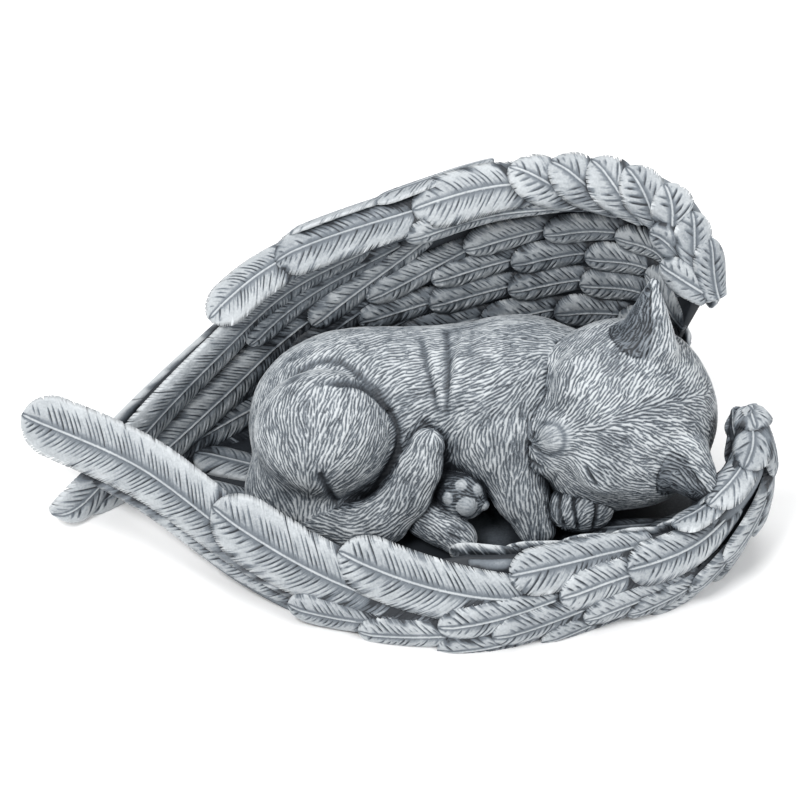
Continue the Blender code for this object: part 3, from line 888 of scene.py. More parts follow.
@dataclass
class TallWing:
    """The wing behind the kitten: wall, lip, and feathers on both faces."""

    fine: Carving = field(default_factory=Carving)
    plain: Carving = field(default_factory=lambda: Carving(rows_per_barb=3, strips=4))

    def flight_feathers(self, side: Side) -> list[Feather]:
        """Return the long feathers that run to the tips."""
        feathers = []
        for tip, root, base in (
            ((0.93, 0.10), (0.62, 0.12), 1.4), ((0.94, 0.28), (0.61, 0.30), 2.0),
            ((0.955, 0.42), (0.60, 0.50), 2.8), ((0.985, 0.30), (0.60, 0.70), 3.6),
            ((1.01, 0.75), (0.60, 0.92), 4.6),
        ):
            if side is Side.TOWARD_BACK:
                tip = (tip[0] - OUTER_SHORTER, tip[1] - OUTER_LOWER)
                root = (root[0], root[1] - OUTER_LOWER)
            feathers.append(Feather(BACK_WALL, side, tip, root, 8.2, base=base, lift=0.6))
        return feathers

    def coverts(self) -> list[Feather]:
        """Return the short feathers in rows on the inner face, and the longer ones toward the tips."""
        front = Side.TOWARD_FRONT
        feathers = []
        for t, first, count in (
            (0.74, 0.21, 3), (0.63, 0.13, 4), (0.52, 0.13, 4),
            (0.41, 0.17, 4), (0.30, 0.11, 4), (0.19, 0.15, 4),
        ):
            feathers += feather_row(BACK_WALL, front, (first, t), (0.127, -0.003), count, (-0.16, 0.02), 6.4)
        for tip, root in (
            ((0.65, 0.40), (0.50, 0.50)), ((0.61, 0.53), (0.45, 0.52)), ((0.60, 0.63), (0.44, 0.73)),
            ((0.70, 0.46), (0.55, 0.64)), ((0.67, 0.60), (0.52, 0.84)), ((0.77, 0.71), (0.56, 0.85)),
        ):
            feathers.append(Feather(BACK_WALL, front, tip, root, 6.2, base=2.8))
        return feathers

    def outer_coverts(self) -> list[Feather]:
        """Return the rows on the outer face."""
        feathers = []
        for t, first in ((0.86, 0.16), (0.66, 0.24), (0.46, 0.16), (0.26, 0.24), (0.08, 0.16)):
            feathers += feather_row(
                BACK_WALL, Side.TOWARD_BACK, (first, t), (0.13, -0.01), 5, (-0.20, 0.03), 9.0
            )
        return feathers

    def lip_feathers(self) -> list[Feather]:
        """Return the feathers laid over the lip, long toward the tips and short near the shoulder."""
        feathers = []
        for tip, root, half_width in (
            ((0.82, 0.52), (0.60, 0.60), 8.0), ((0.68, 0.20), (0.50, 0.25), 6.5),
            ((0.705, 0.55), (0.48, 0.66), 8.0), ((0.59, 0.34), (0.42, 0.30), 5.5),
            ((0.55, 0.62), (0.30, 0.72), 8.5), ((0.56, 0.95), (0.26, 1.02), 5.0),
            ((0.40, 0.50), (0.25, 1.00), 7.8), ((0.34, 0.50), (0.20, 1.00), 7.8),
            ((0.28, 0.48), (0.15, 0.98), 7.8), ((0.225, 0.48), (0.10, 0.92), 7.2),
            ((0.16, 0.48), (0.05, 0.80), 7.0),
            ((0.10, 0.46), (0.00, 0.62), 6.0), ((0.06, 0.38), (-0.03, 0.45), 6.0),
            ((0.12, 0.92), (0.02, 0.62), 5.5), ((0.05, 0.92), (-0.02, 0.52), 5.5),
        ):
            base = TUCKED_BASE if tip[1] < BEHIND_LIP else OPEN_BASE
            lift = SHORT_LIFT if tip[0] < SHORT_BELOW else LONG_LIFT
            feathers.append(Feather(BACK_LIP, Side.TOWARD_BACK, tip, root, half_width, base=base, lift=lift))
        return feathers

    def build(self) -> list[bpy.types.Object]:
        """Build the wing's pieces."""
        front, back = Side.TOWARD_FRONT, Side.TOWARD_BACK
        return [
            wall_piece("tall_wing_wall", BACK_WALL, 0.91, TALL_RIM),
            lip_piece("tall_wing_lip", BACK_LIP, 0.64),
            feather_group("tall_wing_inner_flight_feathers", self.flight_feathers(front), self.fine),
            feather_group("tall_wing_inner_coverts", self.coverts(), self.fine),
            feather_group("tall_wing_lip_feathers", self.lip_feathers(), self.fine),
            feather_group("tall_wing_outer_flight_feathers", self.flight_feathers(back), self.plain),
            feather_group("tall_wing_outer_coverts", self.outer_coverts(), self.plain),
        ]


@dataclass
class LowWing:
    """The wing in front of the kitten: wall, lip, and feathers on both faces."""

    fine: Carving = field(default_factory=Carving)
    plain: Carving = field(default_factory=lambda: Carving(rows_per_barb=3, strips=4))

    def edge_feathers(self) -> list[Feather]:
        """Return the two long feathers that reach past the wall, and the broad ones along the upper edge."""
        front = Side.TOWARD_FRONT
        feathers = [
            Feather(FRONT_WALL, front, (0.95, 0.34), (0.50, 0.02), 8.5, 1.0, 0.6, 0.12, 3.1),
            Feather(FRONT_WALL, front, (1.02, 0.62), (0.50, 0.15), 10.0, 2.4, 0.9, 0.17, 3.6),
        ]
        for tip, root, half_width, bow in (
            ((0.79, 0.72), (0.45, 0.46), 10.6, -0.04), ((0.65, 0.81), (0.37, 0.52), 9.2, 0.0),
            ((0.455, 0.80), (0.27, 0.92), 7.4, 0.0), ((0.40, 0.57), (0.23, 0.76), 6.6, 0.0),
            ((0.315, 0.72), (0.14, 0.86), 7.0, 0.0),
        ):
            feathers.append(Feather(FRONT_WALL, front, tip, root, half_width, base=2.6, bow=bow))
        return feathers

    def coverts(self) -> list[Feather]:
        """Return the short feathers along the lower edge and round the shoulder."""
        feathers = []
        for tip, root, half_width in (
            ((0.69, 0.20), (0.52, 0.36), 6.0), ((0.61, 0.18), (0.45, 0.38), 6.0),
            ((0.53, 0.14), (0.38, 0.28), 6.0), ((0.53, 0.38), (0.38, 0.58), 5.8),
            ((0.475, 0.30), (0.31, 0.48), 6.2), ((0.42, 0.16), (0.26, 0.34), 6.0),
            ((0.37, 0.32), (0.21, 0.52), 6.0), ((0.31, 0.28), (0.16, 0.50), 5.6),
            ((0.27, 0.10), (0.12, 0.34), 6.0), ((0.225, 0.36), (0.09, 0.64), 5.6),
            ((0.18, 0.50), (0.05, 0.76), 5.6), ((0.115, 0.40), (0.03, 0.84), 6.6),
            ((0.16, 0.14), (0.02, 0.40), 5.6), ((0.05, 0.20), (0.00, 0.70), 5.6),
            ((0.08, 0.74), (0.00, 1.02), 5.4),
        ):
            feathers.append(Feather(FRONT_WALL, Side.TOWARD_FRONT, tip, root, half_width, base=3.0))
        return feathers

    def inner_feathers(self) -> list[Feather]:
        """Return the rows on the face toward the kitten."""
        feathers = []
        for t, first in ((0.90, 0.16), (0.62, 0.22), (0.34, 0.16)):
            feathers += feather_row(
                FRONT_WALL, Side.TOWARD_BACK, (first, t), (0.10, 0.0), 4, (-0.13, 0.0), 5.6
            )
        return feathers

    def lip_feathers(self) -> list[Feather]:
        """Return the small feathers that lie over the lip, in three rows."""
        feathers = []
        for first, t, count in ((0.045, 0.10, 8), (0.075, 0.42, 8), (0.05, 0.74, 4)):
            for number in range(count):
                tip = (first + 0.064 * number, t)
                root = (max(tip[0] - 0.10, 0.0), t - 0.08)
                feathers.append(Feather(FRONT_LIP, Side.TOWARD_BACK, tip, root, 6.4, base=0.5, lift=2.2))
        return feathers

    def build(self) -> list[bpy.types.Object]:
        """Build the wing's pieces."""
        return [
            wall_piece("low_wing_wall", FRONT_WALL, 0.93, LOW_RIM),
            lip_piece("low_wing_lip", FRONT_LIP, 0.5),
            feather_group("low_wing_edge_feathers", self.edge_feathers(), self.fine),
            feather_group("low_wing_outer_coverts", self.coverts(), self.fine),
            feather_group("low_wing_inner_feathers", self.inner_feathers(), self.plain),
            feather_group("low_wing_lip_feathers", self.lip_feathers(), self.fine),
        ]


def feather_group(name: str, feathers: Sequence[Feather], carving: Carving) -> bpy.types.Object:
    """Cut a group of feathers and join them."""
    carver = FeatherCarver(carving, SEED + len(name))
    piece = join([carver.cut(feather) for feather in feathers], name)
    apply_modifier(piece, "DECIMATE", ratio=FEATHER_SHARE)
    return piece


def wall_piece(
    name: str, wall: Wall, last: float, rim: tuple[Place, Place], rings: int = 90, strips: int = 22
) -> bpy.types.Object:
    """Form a wing's wall.

    Args:
        name: the piece's name.
        wall: its curved middle.
        last: how far toward the tips it runs.
        rim: two places along the wing, and how high the wall stands there.
        rings: how many sections it has.
        strips: how many points each face of a section has.

    Returns:
        The piece.
    """
    rows = []
    for s in np.linspace(0.0, last, rings):
        t = np.linspace(-0.02, float(np.interp(s, *rim)), strips)
        place = wall.point(np.full(strips, s), t)
        thinning = np.interp(s, (0, 0.9, 1), (1, 1, 0.5))
        half = wall.normal(np.full(strips, s), t) * WALL_THICKNESS / 2 * thinning
        rows.append(np.concatenate([(place + half)[::-1], place - half]))
    return plain_form(name, np.array(rows))


def lip_piece(name: str, lip: Lip, last: float, rings: int = 140, sides: int = 28) -> bpy.types.Object:
    """Form a wing's rounded rim, from the shoulder to its last place toward the tips."""
    turns = np.linspace(2, 0, sides, endpoint=False)
    rows = [lip.point(np.full(sides, s), turns) for s in np.linspace(0.0, last, rings)]
    return plain_form(name, np.array(rows))


def plain_form(name: str, rows: Points, tone: float = 0.0) -> bpy.types.Object:
    """Form a closed piece from rows of points, in one tone, standing on the ground."""
    rows = rows.copy()
    rows[..., 2] = np.maximum(rows[..., 2], GROUND_GAP)
    even = np.full(rows.shape[:2], 0.45)
    places = FormedTable(rows, rows[0].mean(axis=0), rows[-1].mean(axis=0))
    values = {"relief": FormedTable(even, 0.45, 0.45), "tone": FormedTable(even * 0 + tone, tone, tone)}
    return formed_sphere(name, places, values)


@dataclass
class NestFloor:
    """The floor between the feet of both wings, with flat feathers carved on it."""

    steps: int = 60
    rings: int = 24
    # The floor is painted darker, as painted shade in the recess between the wings
    tone: float = -0.2
    carving: Carving = field(default_factory=lambda: Carving(rows_per_barb=4, strips=4))

    def feathers(self) -> list[Feather]:
        """Return the feathers that lie flat on the floor, and the raised ones near the chin."""
        feathers = []
        for tip, root in (
            ((0.96, 0.62), (0.74, 0.50)), ((0.92, 0.46), (0.70, 0.42)), ((0.86, 0.34), (0.66, 0.34)),
            ((0.93, 0.78), (0.72, 0.66)), ((0.52, 0.17), (0.34, 0.22)), ((0.44, 0.26), (0.26, 0.24)),
            ((0.36, 0.16), (0.18, 0.26)), ((0.26, 0.28), (0.08, 0.36)), ((0.64, 0.20), (0.46, 0.18)),
        ):
            feathers.append(Feather(
                FLOOR_BED, Side.TOWARD_FRONT, tip, root, 7.5, base=0.2, lift=1.2, thickness=2.0
            ))
        for tip, root in (
            ((0.21, 0.33), (0.05, 0.38)), ((0.26, 0.25), (0.10, 0.28)), ((0.15, 0.27), (0.00, 0.35)),
            ((0.09, 0.31), (0.00, 0.43)), ((0.33, 0.20), (0.17, 0.22)),
        ):
            feathers.append(Feather(
                FLOOR_BED, Side.TOWARD_FRONT, tip, root, 6.0, base=4.6, lift=1.6, thickness=3.0
            ))
        return feathers

    def build(self) -> list[bpy.types.Object]:
        """Build the floor, from the middle of its underside round its edge to the middle of its top."""
        front = FRONT_WALL.point(np.linspace(0.0, 0.78, self.steps), np.zeros(self.steps))
        back = BACK_WALL.point(np.linspace(0.86, 0.0, self.steps), np.zeros(self.steps))
        front[:, 1] += np.maximum(front[:, 2], 0) / math.tan(VIEW_TILT)
        outline = np.concatenate([front, back])[::-1]
        middle = outline.mean(axis=0)
        rows = []
        outward, inward = np.linspace(0, 1, self.rings + 1)[1:], np.linspace(1, 0, self.rings + 1)[:-1]
        for shares, height in ((outward, GROUND_GAP), (inward, FLOOR_THICKNESS)):
            for share in shares:
                row = middle + (outline - middle) * share
                row[:, 2] = height
                rows.append(row)
        return [
            plain_form("nest_floor", np.array(rows), self.tone),
            feather_group("nest_feathers", self.feathers(), self.carving),
        ]


@dataclass
class Kitten:
    """The sleeping kitten: body, head, tail and paws, all combed."""

    grain: float = 0.64
    coat: Coat = field(default_factory=Coat)
    face_coat: Coat = field(default_factory=lambda: Coat(length=3.6, pitch=0.86, half_width=0.26, depth=0.45))

    def body_lumps(self) -> list[Lump]:
        """Return rump, barrel, chest, shoulder, the foreleg in front and the thigh."""
        return [
            Ball((6, 22, 29.5), (44, 25, 27.5)),
            Ball((-20, 17, 27), (27, 27, 27), blend=14),
            Ball((36, 21, 31.5), (26, 25, 28), blend=14),
            Limb((44, 20, 34), (62, 17, 36), 24, 20, blend=12),
            Ball((28, 9, 40), (18, 18, 21), blend=9),
            Limb((31, 0, 34), (37, -9, 22), 11.5, 8.0, blend=7),
            Limb((37, -9, 22), (42, -14, 12.5), 7.8, 6.2, blend=3),
            Ball((-23.5, -0.5, 38.3), (21, 18, 20.5), blend=1.5),
            Limb((-36, -1, 18), (-22, -8, 12), 12, 9, blend=6),
        ]

    def tail_lumps(self) -> list[Lump]:
        """Return the tail, from under the thigh round to its tip, which stands against the belly."""
        knots = (
            ((-44, 8, 13), 4.5), ((-36, -3, 13), 5.5), ((-26, -10, 12.5), 6.3), ((-14, -14, 13), 7.0),
            ((-5, -14, 16), 7.4), ((2, -11, 23), 7.2), ((6, -8, 31), 6.4), ((8.5, -6, 38.5), 5.2),
        )
        return [Limb(a, b, ra, rb, blend=3) for (a, ra), (b, rb) in zip(knots[:-1], knots[1:])]

    def hind_paw_lumps(self) -> list[Lump]:
        """Return the hind paw that shows its pads, and the other hind foot below it."""
        lumps: list[Lump] = [Ball(HIND_PAW, (7.2, 6, 7.2)), Limb((12, -2, 20), (19, -9, 22), 7, 6, blend=3)]
        lumps.append(Limb((8, -12, 14.5), (18, -19, 12.5), 6.6, 5.6, blend=0.8))
        return lumps + self.paw_pads()

    def paw_pads(self) -> list[Lump]:
        """Return the four toe pads and the broad pad of the hind paw that is turned to the viewer."""
        pads: list[Lump] = []
        for right, up, radius in (
            (-4.6, 0.0, 1.9), (-0.8, 3.4, 1.9), (3.8, 2.2, 1.9), (6.0, -2.2, 1.8), (0.8, -2.6, 2.9),
        ):
            depth = math.sqrt(max(0.0, PAD_BALL_SQUARED - right**2 - up**2)) - PAD_SINK
            centre = HIND_PAW + np.array((right, 0, 0)) + up * VIEW_UP + depth * TO_VIEWER
            pads.append(Ball(centre, (radius, radius, radius), blend=0.5))
        return pads

    def pad_gap(self, points: Points) -> Points:
        """Return how far points lie outside the nearest pad."""
        return np.min([pad.distance(points) for pad in self.paw_pads()], axis=0)

    def pad_bareness(self, points: Points) -> Points:
        """Return how bare of fur the pads are."""
        return 0.75 - 0.75 * smooth_step(self.pad_gap(points), 0.0, 0.7)

    def pad_darkening(self, points: Points) -> Points:
        """Return how much darker the pads are painted, and the darker ring painted round them."""
        gap = self.pad_gap(points)
        on_pad = 0.3 - 0.3 * smooth_step(gap, 0.0, 0.3)
        return on_pad + 0.7 * smooth_step(gap, 0.1, 0.5) * (1 - smooth_step(gap, 1.0, 2.4))

    def chin_paw_lumps(self) -> list[Lump]:
        """Return the forepaw under the chin, with its four toes side by side."""
        return [Limb((63, 6, 20), (58, -3, 17), 8.5, 8), Ball((55.4, -12.2, 18.8), (10.2, 8.0, 7.8), blend=3)]

    def ear_lumps(self, side: int) -> list[Lump]:
        """Return an ear and the hollow carved into it."""
        base, tip = on_head(-4, 19.5 * side, 18.0), on_head(-6.5, 34.6 * side, 25.5)
        out = unit_vector(on_head(0.82, 0.30 * side, -0.05) - SKULL)
        inner, point = base + 5.0 * out, base + 0.90 * (tip - base) + 2.0 * out
        return [
            Limb(base, tip, 12.0, 2.4, blend=2, flat=out, flatness=0.70),
            Limb(inner, point, 9.3, 1.3, blend=0.8, flat=out, flatness=0.68, carve=True),
        ]

    def head_lumps(self) -> list[Lump]:
        """Return skull, muzzle, cheeks, nose, closed eyes and ears."""
        lumps: list[Lump] = [
            Ball(on_head(-1, 0, 0), (29, 29.5, 28.5), HEAD_AXES),
            Ball(on_head(23, 0, -4), (10.5, 10.5, 9.5), HEAD_AXES, 7),
            Ball(on_head(28.0, 0, 3.6), (4.6, 5.2, 4.4), HEAD_AXES, 3.0),
            Ball(on_head(24, 0, -13), (6.5, 6.5, 5.0), HEAD_AXES, 3),
        ]
        for side in EAR_SIDES:
            lumps.append(Ball(on_head(27, 4.8 * side, -6), (6.8, 6.6, 6.0), HEAD_AXES, 2.5))
            lumps.append(Ball(on_head(12, 14 * side, -7), (13, 12, 12), HEAD_AXES, 6))
            lumps.append(Ball(on_head(19.0, 13.5 * side, 8.6), (7, 7.5, 5), HEAD_AXES, 5))
            lumps += self.ear_lumps(side)
        return lumps

    def body_flow(self, points: Points) -> Points:
        """Return the fur's direction on the body, from places combed in the front view."""
        combings = (
            ((48, 100), (-1.0, 0.1)), ((24, 95), (-1.0, 0.05)), ((12, 80), (-1.0, -0.3)),
            ((34, 82), (-0.7, -0.7)), ((36, 60), (0.0, -1.0)), ((38, 44), (0.3, -0.95)),
            ((46, 46), (-0.2, -0.95)), ((-20, 104), (-0.8, -0.5)),
            ((-30, 72), (0.05, -1.0)), ((-16, 70), (-0.4, -0.9)), ((-43, 72), (0.5, -0.85)),
            ((-4, 66), (-0.75, -0.6)), ((-50, 100), (-0.6, -0.8)), ((-26, 86), (-0.5, -0.85)),
        )
        places = seen(points)
        way = np.zeros((len(points), 2))
        for place, direction in combings:
            share = np.exp(-np.sum((places - place) ** 2, axis=1) / COMB_REACH**2) + 1e-6
            way += share[:, None] * unit_vector(direction)
        return way[:, :1] * np.array((1.0, 0.0, 0.0)) + way[:, 1:] * VIEW_UP

    def head_flow(self, points: Points) -> Points:
        """Return the fur's direction on the head: away from the nose, parting at the middle of the brow."""
        local = (points - SKULL) @ HEAD_AXES.T
        away = unit_rows(local - np.array((36.0, 0.0, -3.0)))
        spread = np.tanh(local[:, 1] / 4.0) * smooth_step(local[:, 2], -5, 15)
        way = away + np.outer(0.55 * spread, (0, 1, 0))
        for side in EAR_SIDES:
            near = smooth_step(local[:, 1] * side, 20, 27)
            way = way * (1 - near[:, None]) + near[:, None] * np.array((-0.5, 0.85 * side, 0.15))
        return way @ HEAD_AXES

    def limb_flow(self, lumps: Sequence[Lump]) -> Flow:
        """Return a flow along the nearest of a chain of limbs."""
        limbs = [lump for lump in lumps if isinstance(lump, Limb)]

        def flow(points: Points) -> Points:
            """Return the directions of the nearest limbs."""
            gaps = np.array([limb.distance(points) for limb in limbs])
            share = np.exp(-np.maximum(gaps - gaps.min(axis=0), 0) / 1.5)
            ways = np.array([unit_vector(np.subtract(limb.end, limb.start)) for limb in limbs])
            return share.T @ ways

        return flow

    def muzzle_bareness(self, points: Points) -> Points:
        """Return how bare the nose pad is."""
        local = (points - SKULL) @ HEAD_AXES.T
        gap = np.linalg.norm((local - np.array((31.0, 0.0, 6.0))) / 5.0, axis=1)
        return 0.55 - 0.55 * smooth_step(gap, 0.8, 1.3)

    def ear_shade_and_nose_tone(self, points: Points) -> Points:
        """Return how much darker the head is painted: painted shade, full inside the ear hollows, and some
        darker tone on the nose pad's light fur.
        """
        hollows = [lump for side in EAR_SIDES for lump in self.ear_lumps(side) if lump.carve]
        inside = np.max([1 - smooth_step(lump.distance(points), 0.2, 1.1) for lump in hollows], axis=0)
        return np.clip(0.55 * inside + 0.1 * self.muzzle_bareness(points), 0, 1)

    def face_creases(self) -> list[Crease]:
        """Return the closed eyes, the nose's edge, the mouth and the nostrils."""
        nose = (
            (40.0, 66.0), (44.0, 67.4), (48.0, 66.2), (49.4, 62.6), (48.4, 58.8), (44.0, 57.6), (40.0, 58.6),
        )
        creases = [
            Crease(((49.4, 77.9), (50.9, 81.5), (52.1, 85.1)), 0.45, 0.5),
            Crease(((55.4, 55.1), (57.2, 51.2), (59.4, 47.9)), 0.85, 0.5),
            Crease(nose, 0.35, 0.8),
        ]
        carved = [(((33, 0, -3.5), (33, 0, -7), (31, 0, -9.5)), 0.9, 0.5)]
        for side in EAR_SIDES:
            carved.append((((31, 0, -9.5), (31, 4 * side, -11), (27, 9 * side, -10)), 0.9, 0.5))
            carved.append((((34, 1.0 * side, -1.5), (33, 3.4 * side, -0.2)), 0.7, 0.45))
        for knots, depth, half_width in carved:
            line = seen(np.array([on_head(*knot) for knot in knots]))
            creases.append(Crease(line, depth, half_width))
        return creases

    def body_creases(self) -> list[Crease]:
        """Return folds of skin and the toes of the foreleg."""
        return [
            Crease(((-34.8, 78.8), (-27.3, 85.1), (-18.8, 86.0), (-10.9, 80.6), (-3.6, 74.2)), 0.7, 0.9),
            Crease(((-24.2, 79.4), (-11.2, 78.2), (-2.1, 69.1), (-0.9, 59.1), (-8.2, 46.1)), 1.1, 0.9),
            Crease(((-24.5, 52.5), (-22.0, 47.0), (-19.0, 42.0)), 1.2, 1.0),
            Crease(((8.5, 93.9), (10.9, 81.8), (13.3, 70.6)), -0.7, 1.1),
            Crease(((20.0, 95.4), (17.0, 83.3), (14.5, 70.6)), -0.7, 1.1),
            Crease(((14.2, 97.0), (14.5, 83.3), (13.9, 68.2)), 0.7, 1.0),
            Crease(((6.4, 93.9), (8.5, 82.7), (11.5, 69.7)), 0.5, 0.8),
            Crease(((40.0, 36.7), (39.4, 30.9)), 0.5, 0.5),
            Crease(((42.7, 36.7), (42.7, 30.3)), 0.5, 0.5),
        ]

    def foot_creases(self) -> list[Crease]:
        """Return the toes of the lower hind foot."""
        lines = (((14.2, 33.9), (18.8, 31.5)), ((15.2, 36.3), (20.6, 34.5)))
        return [Crease(line, 0.7, 0.5) for line in lines]

    def toe_creases(self) -> list[Crease]:
        """Return the toes of the forepaw under the chin."""
        lines = (
            ((49.4, 47.6), (48.2, 40.9), (50.3, 34.8)),
            ((53.6, 48.2), (52.7, 41.5), (54.5, 33.9)),
            ((58.8, 47.3), (60.0, 41.5), (58.8, 34.2)),
        )
        return [Crease(line, 1.2, 0.55) for line in lines]

    def _skin(self, name: str, lumps: Sequence[Lump], cover: Sequence[Lump]) -> bpy.types.Object:
        """Model a skin and halve its faces where it shows.

        Args:
            name: the piece's name.
            lumps: its clay.
            cover: clay of other pieces that covers it.

        Returns:
            The skin.
        """
        piece = clay_piece(name, lumps, self.grain)
        centres, normals = face_rows(piece.data)
        shows = (normals @ TO_VIEWER > FACING_LEAST) | (normals[:, 2] > SKYWARD_LEAST)
        shows &= centres[:, 2] > REFINED_ABOVE
        shows &= clay(cover, centres) > COVER_GAP
        refine(piece, shows)
        draw_to_skin(piece, lumps, REFINED_PASSES)
        return piece

    def build(self) -> list[bpy.types.Object]:
        """Model and comb each piece of the kitten."""
        body, head, tail = self.body_lumps(), self.head_lumps(), self.tail_lumps()
        hind, chin = self.hind_paw_lumps(), self.chin_paw_lumps()
        carver = FurCarver(SEED)
        pieces = [
            self._skin("kitten_body", body, head + tail[1:]),
            self._skin("kitten_head", head, body),
            self._skin("kitten_tail", tail, body),
            self._skin("kitten_hind_paws", hind, body),
            self._skin("kitten_chin_paw", chin, head),
        ]
        carver.carve(pieces[0], self.body_flow, self.coat, self.body_creases())
        # The head's ear hollows are painted darker, as painted shade
        carver.carve(
            pieces[1], self.head_flow, self.face_coat, self.face_creases(),
            self.muzzle_bareness, self.ear_shade_and_nose_tone,
        )
        carver.carve(pieces[2], self.limb_flow(tail), self.coat)
        carver.carve(
            pieces[3], self.limb_flow(hind), self.face_coat, self.foot_creases(),
            self.pad_bareness, self.pad_darkening,
        )
        carver.carve(pieces[4], self.limb_flow(chin), self.face_coat, self.toe_creases())
        for piece, most in zip(pieces, KITTEN_MOST):
            points = read_points(piece.data)
            points[:, 2] = np.maximum(points[:, 2], GROUND_GAP * UNIT)
            write_points(piece.data, points)
            lighten(piece, most)
        return pieces


@dataclass
class OcclusionShadeAndWash:
    """Finds by ray casts how far each place lies in a recess, for the painted shade of occlusion there and
    the dark wash that stays there.
    """

    rays: int = 9
    reach: float = 11.0
    share: int = 5
    lift: float = 0.22
    outward: float = 1.05
    blocked_most: float = 0.6

    def settle(self, pieces: Sequence[bpy.types.Object]) -> None:
        """Store at each point how open it is, 0 in a recess and 1 in the open."""
        tree = self._tree(pieces)
        random = np.random.default_rng(SEED)
        for piece in pieces:
            points, normals = read_points(piece.data) / UNIT, read_normals(piece.data)
            chosen = random.choice(len(points), max(1, len(points) // self.share), replace=False)
            ways = unit_rows(random.normal(size=(len(chosen), self.rays, 3)))
            ways = ways + self.outward * normals[chosen][:, None]
            origins = points[chosen] + normals[chosen] * self.lift
            open_share = np.array([
                self._open(tree, origin, rays)
                for origin, rays in zip(origins.tolist(), unit_rows(ways).tolist())
            ])
            write_value(piece.data, "shade", self._spread(piece.data, chosen, open_share))

    def _tree(self, pieces: Sequence[bpy.types.Object]) -> BVHTree:
        """Return a search tree of all the pieces' faces."""
        corners, faces, start = [], [], 0
        for piece in pieces:
            mesh = piece.data
            mesh.calc_loop_triangles()
            triangles = np.empty(len(mesh.loop_triangles) * 3, np.int32)
            mesh.loop_triangles.foreach_get("vertices", triangles)
            corners.append(read_points(mesh) / UNIT)
            faces.append(triangles.reshape(-1, 3) + start)
            start += len(mesh.vertices)
        points, triangles = np.concatenate(corners).tolist(), np.concatenate(faces).tolist()
        return BVHTree.FromPolygons(points, triangles, all_triangles=True)

    def _open(self, tree: BVHTree, origin: Sequence[float], ways: Sequence[Sequence[float]]) -> float:
        """Return the share of rays from a point that get away."""
        open_share = 0.0
        for way in ways:
            distance = tree.ray_cast(origin, way, self.reach)[3]
            open_share += 1.0 if distance is None else distance / self.reach * self.blocked_most
        return open_share / len(ways)

    def _spread(self, mesh: bpy.types.Mesh, chosen: Points, known: Points, passes: int = 8) -> Points:
        """Spread known values along a mesh's edges to all its points."""
        edges = np.empty(len(mesh.edges) * 2, np.int32)
        mesh.edges.foreach_get("vertices", edges)
        first, second = edges.reshape(-1, 2).T
        count = len(mesh.vertices)
        weight, value = np.zeros(count), np.zeros(count)
        weight[chosen] = 1.0
        value[chosen] = known
        for _ in range(passes):
            total, mass = (
                amount + 0.5 * np.bincount(first, amount[second], count)
                + 0.5 * np.bincount(second, amount[first], count)
                for amount in (value * weight, weight)
            )
            value = np.where(mass > 0, total / np.maximum(mass, 1e-9), value)
            weight = np.clip(mass, 0, 1)
        value[weight <= 0] = known.mean()
        return value


class Channel:
    """A number that runs through a material. Arithmetic on it adds Math nodes."""

    def __init__(self, recipe: "Recipe", socket: bpy.types.NodeSocket) -> None:
        self.recipe, self.socket = recipe, socket

    def _with(self, operation: str, first: object, second: object) -> "Channel":
        """Return the result of one Math node."""
        node = self.recipe.node("ShaderNodeMath", {"operation": operation}, {0: first, 1: second})
        return Channel(self.recipe, node.outputs[0])

    def __add__(self, other: "Channel | float") -> "Channel":
        """Add."""
        return self._with("ADD", self, other)

    def __radd__(self, other: float) -> "Channel":
        """Add, the other way round."""
        return self._with("ADD", other, self)

    def __sub__(self, other: "Channel | float") -> "Channel":
        """Take away."""
        return self._with("SUBTRACT", self, other)

    def __mul__(self, other: "Channel | float") -> "Channel":
        """Multiply."""
        return self._with("MULTIPLY", self, other)

    def eased(self, low: float, high: float) -> "Channel":
        """Ease from 0 at low to 1 at high."""
        node = self.recipe.node(
            "ShaderNodeMapRange", {"interpolation_type": "SMOOTHSTEP"},
            {"Value": self, "From Min": low, "From Max": high},
        )
        return Channel(self.recipe, node.outputs[0])


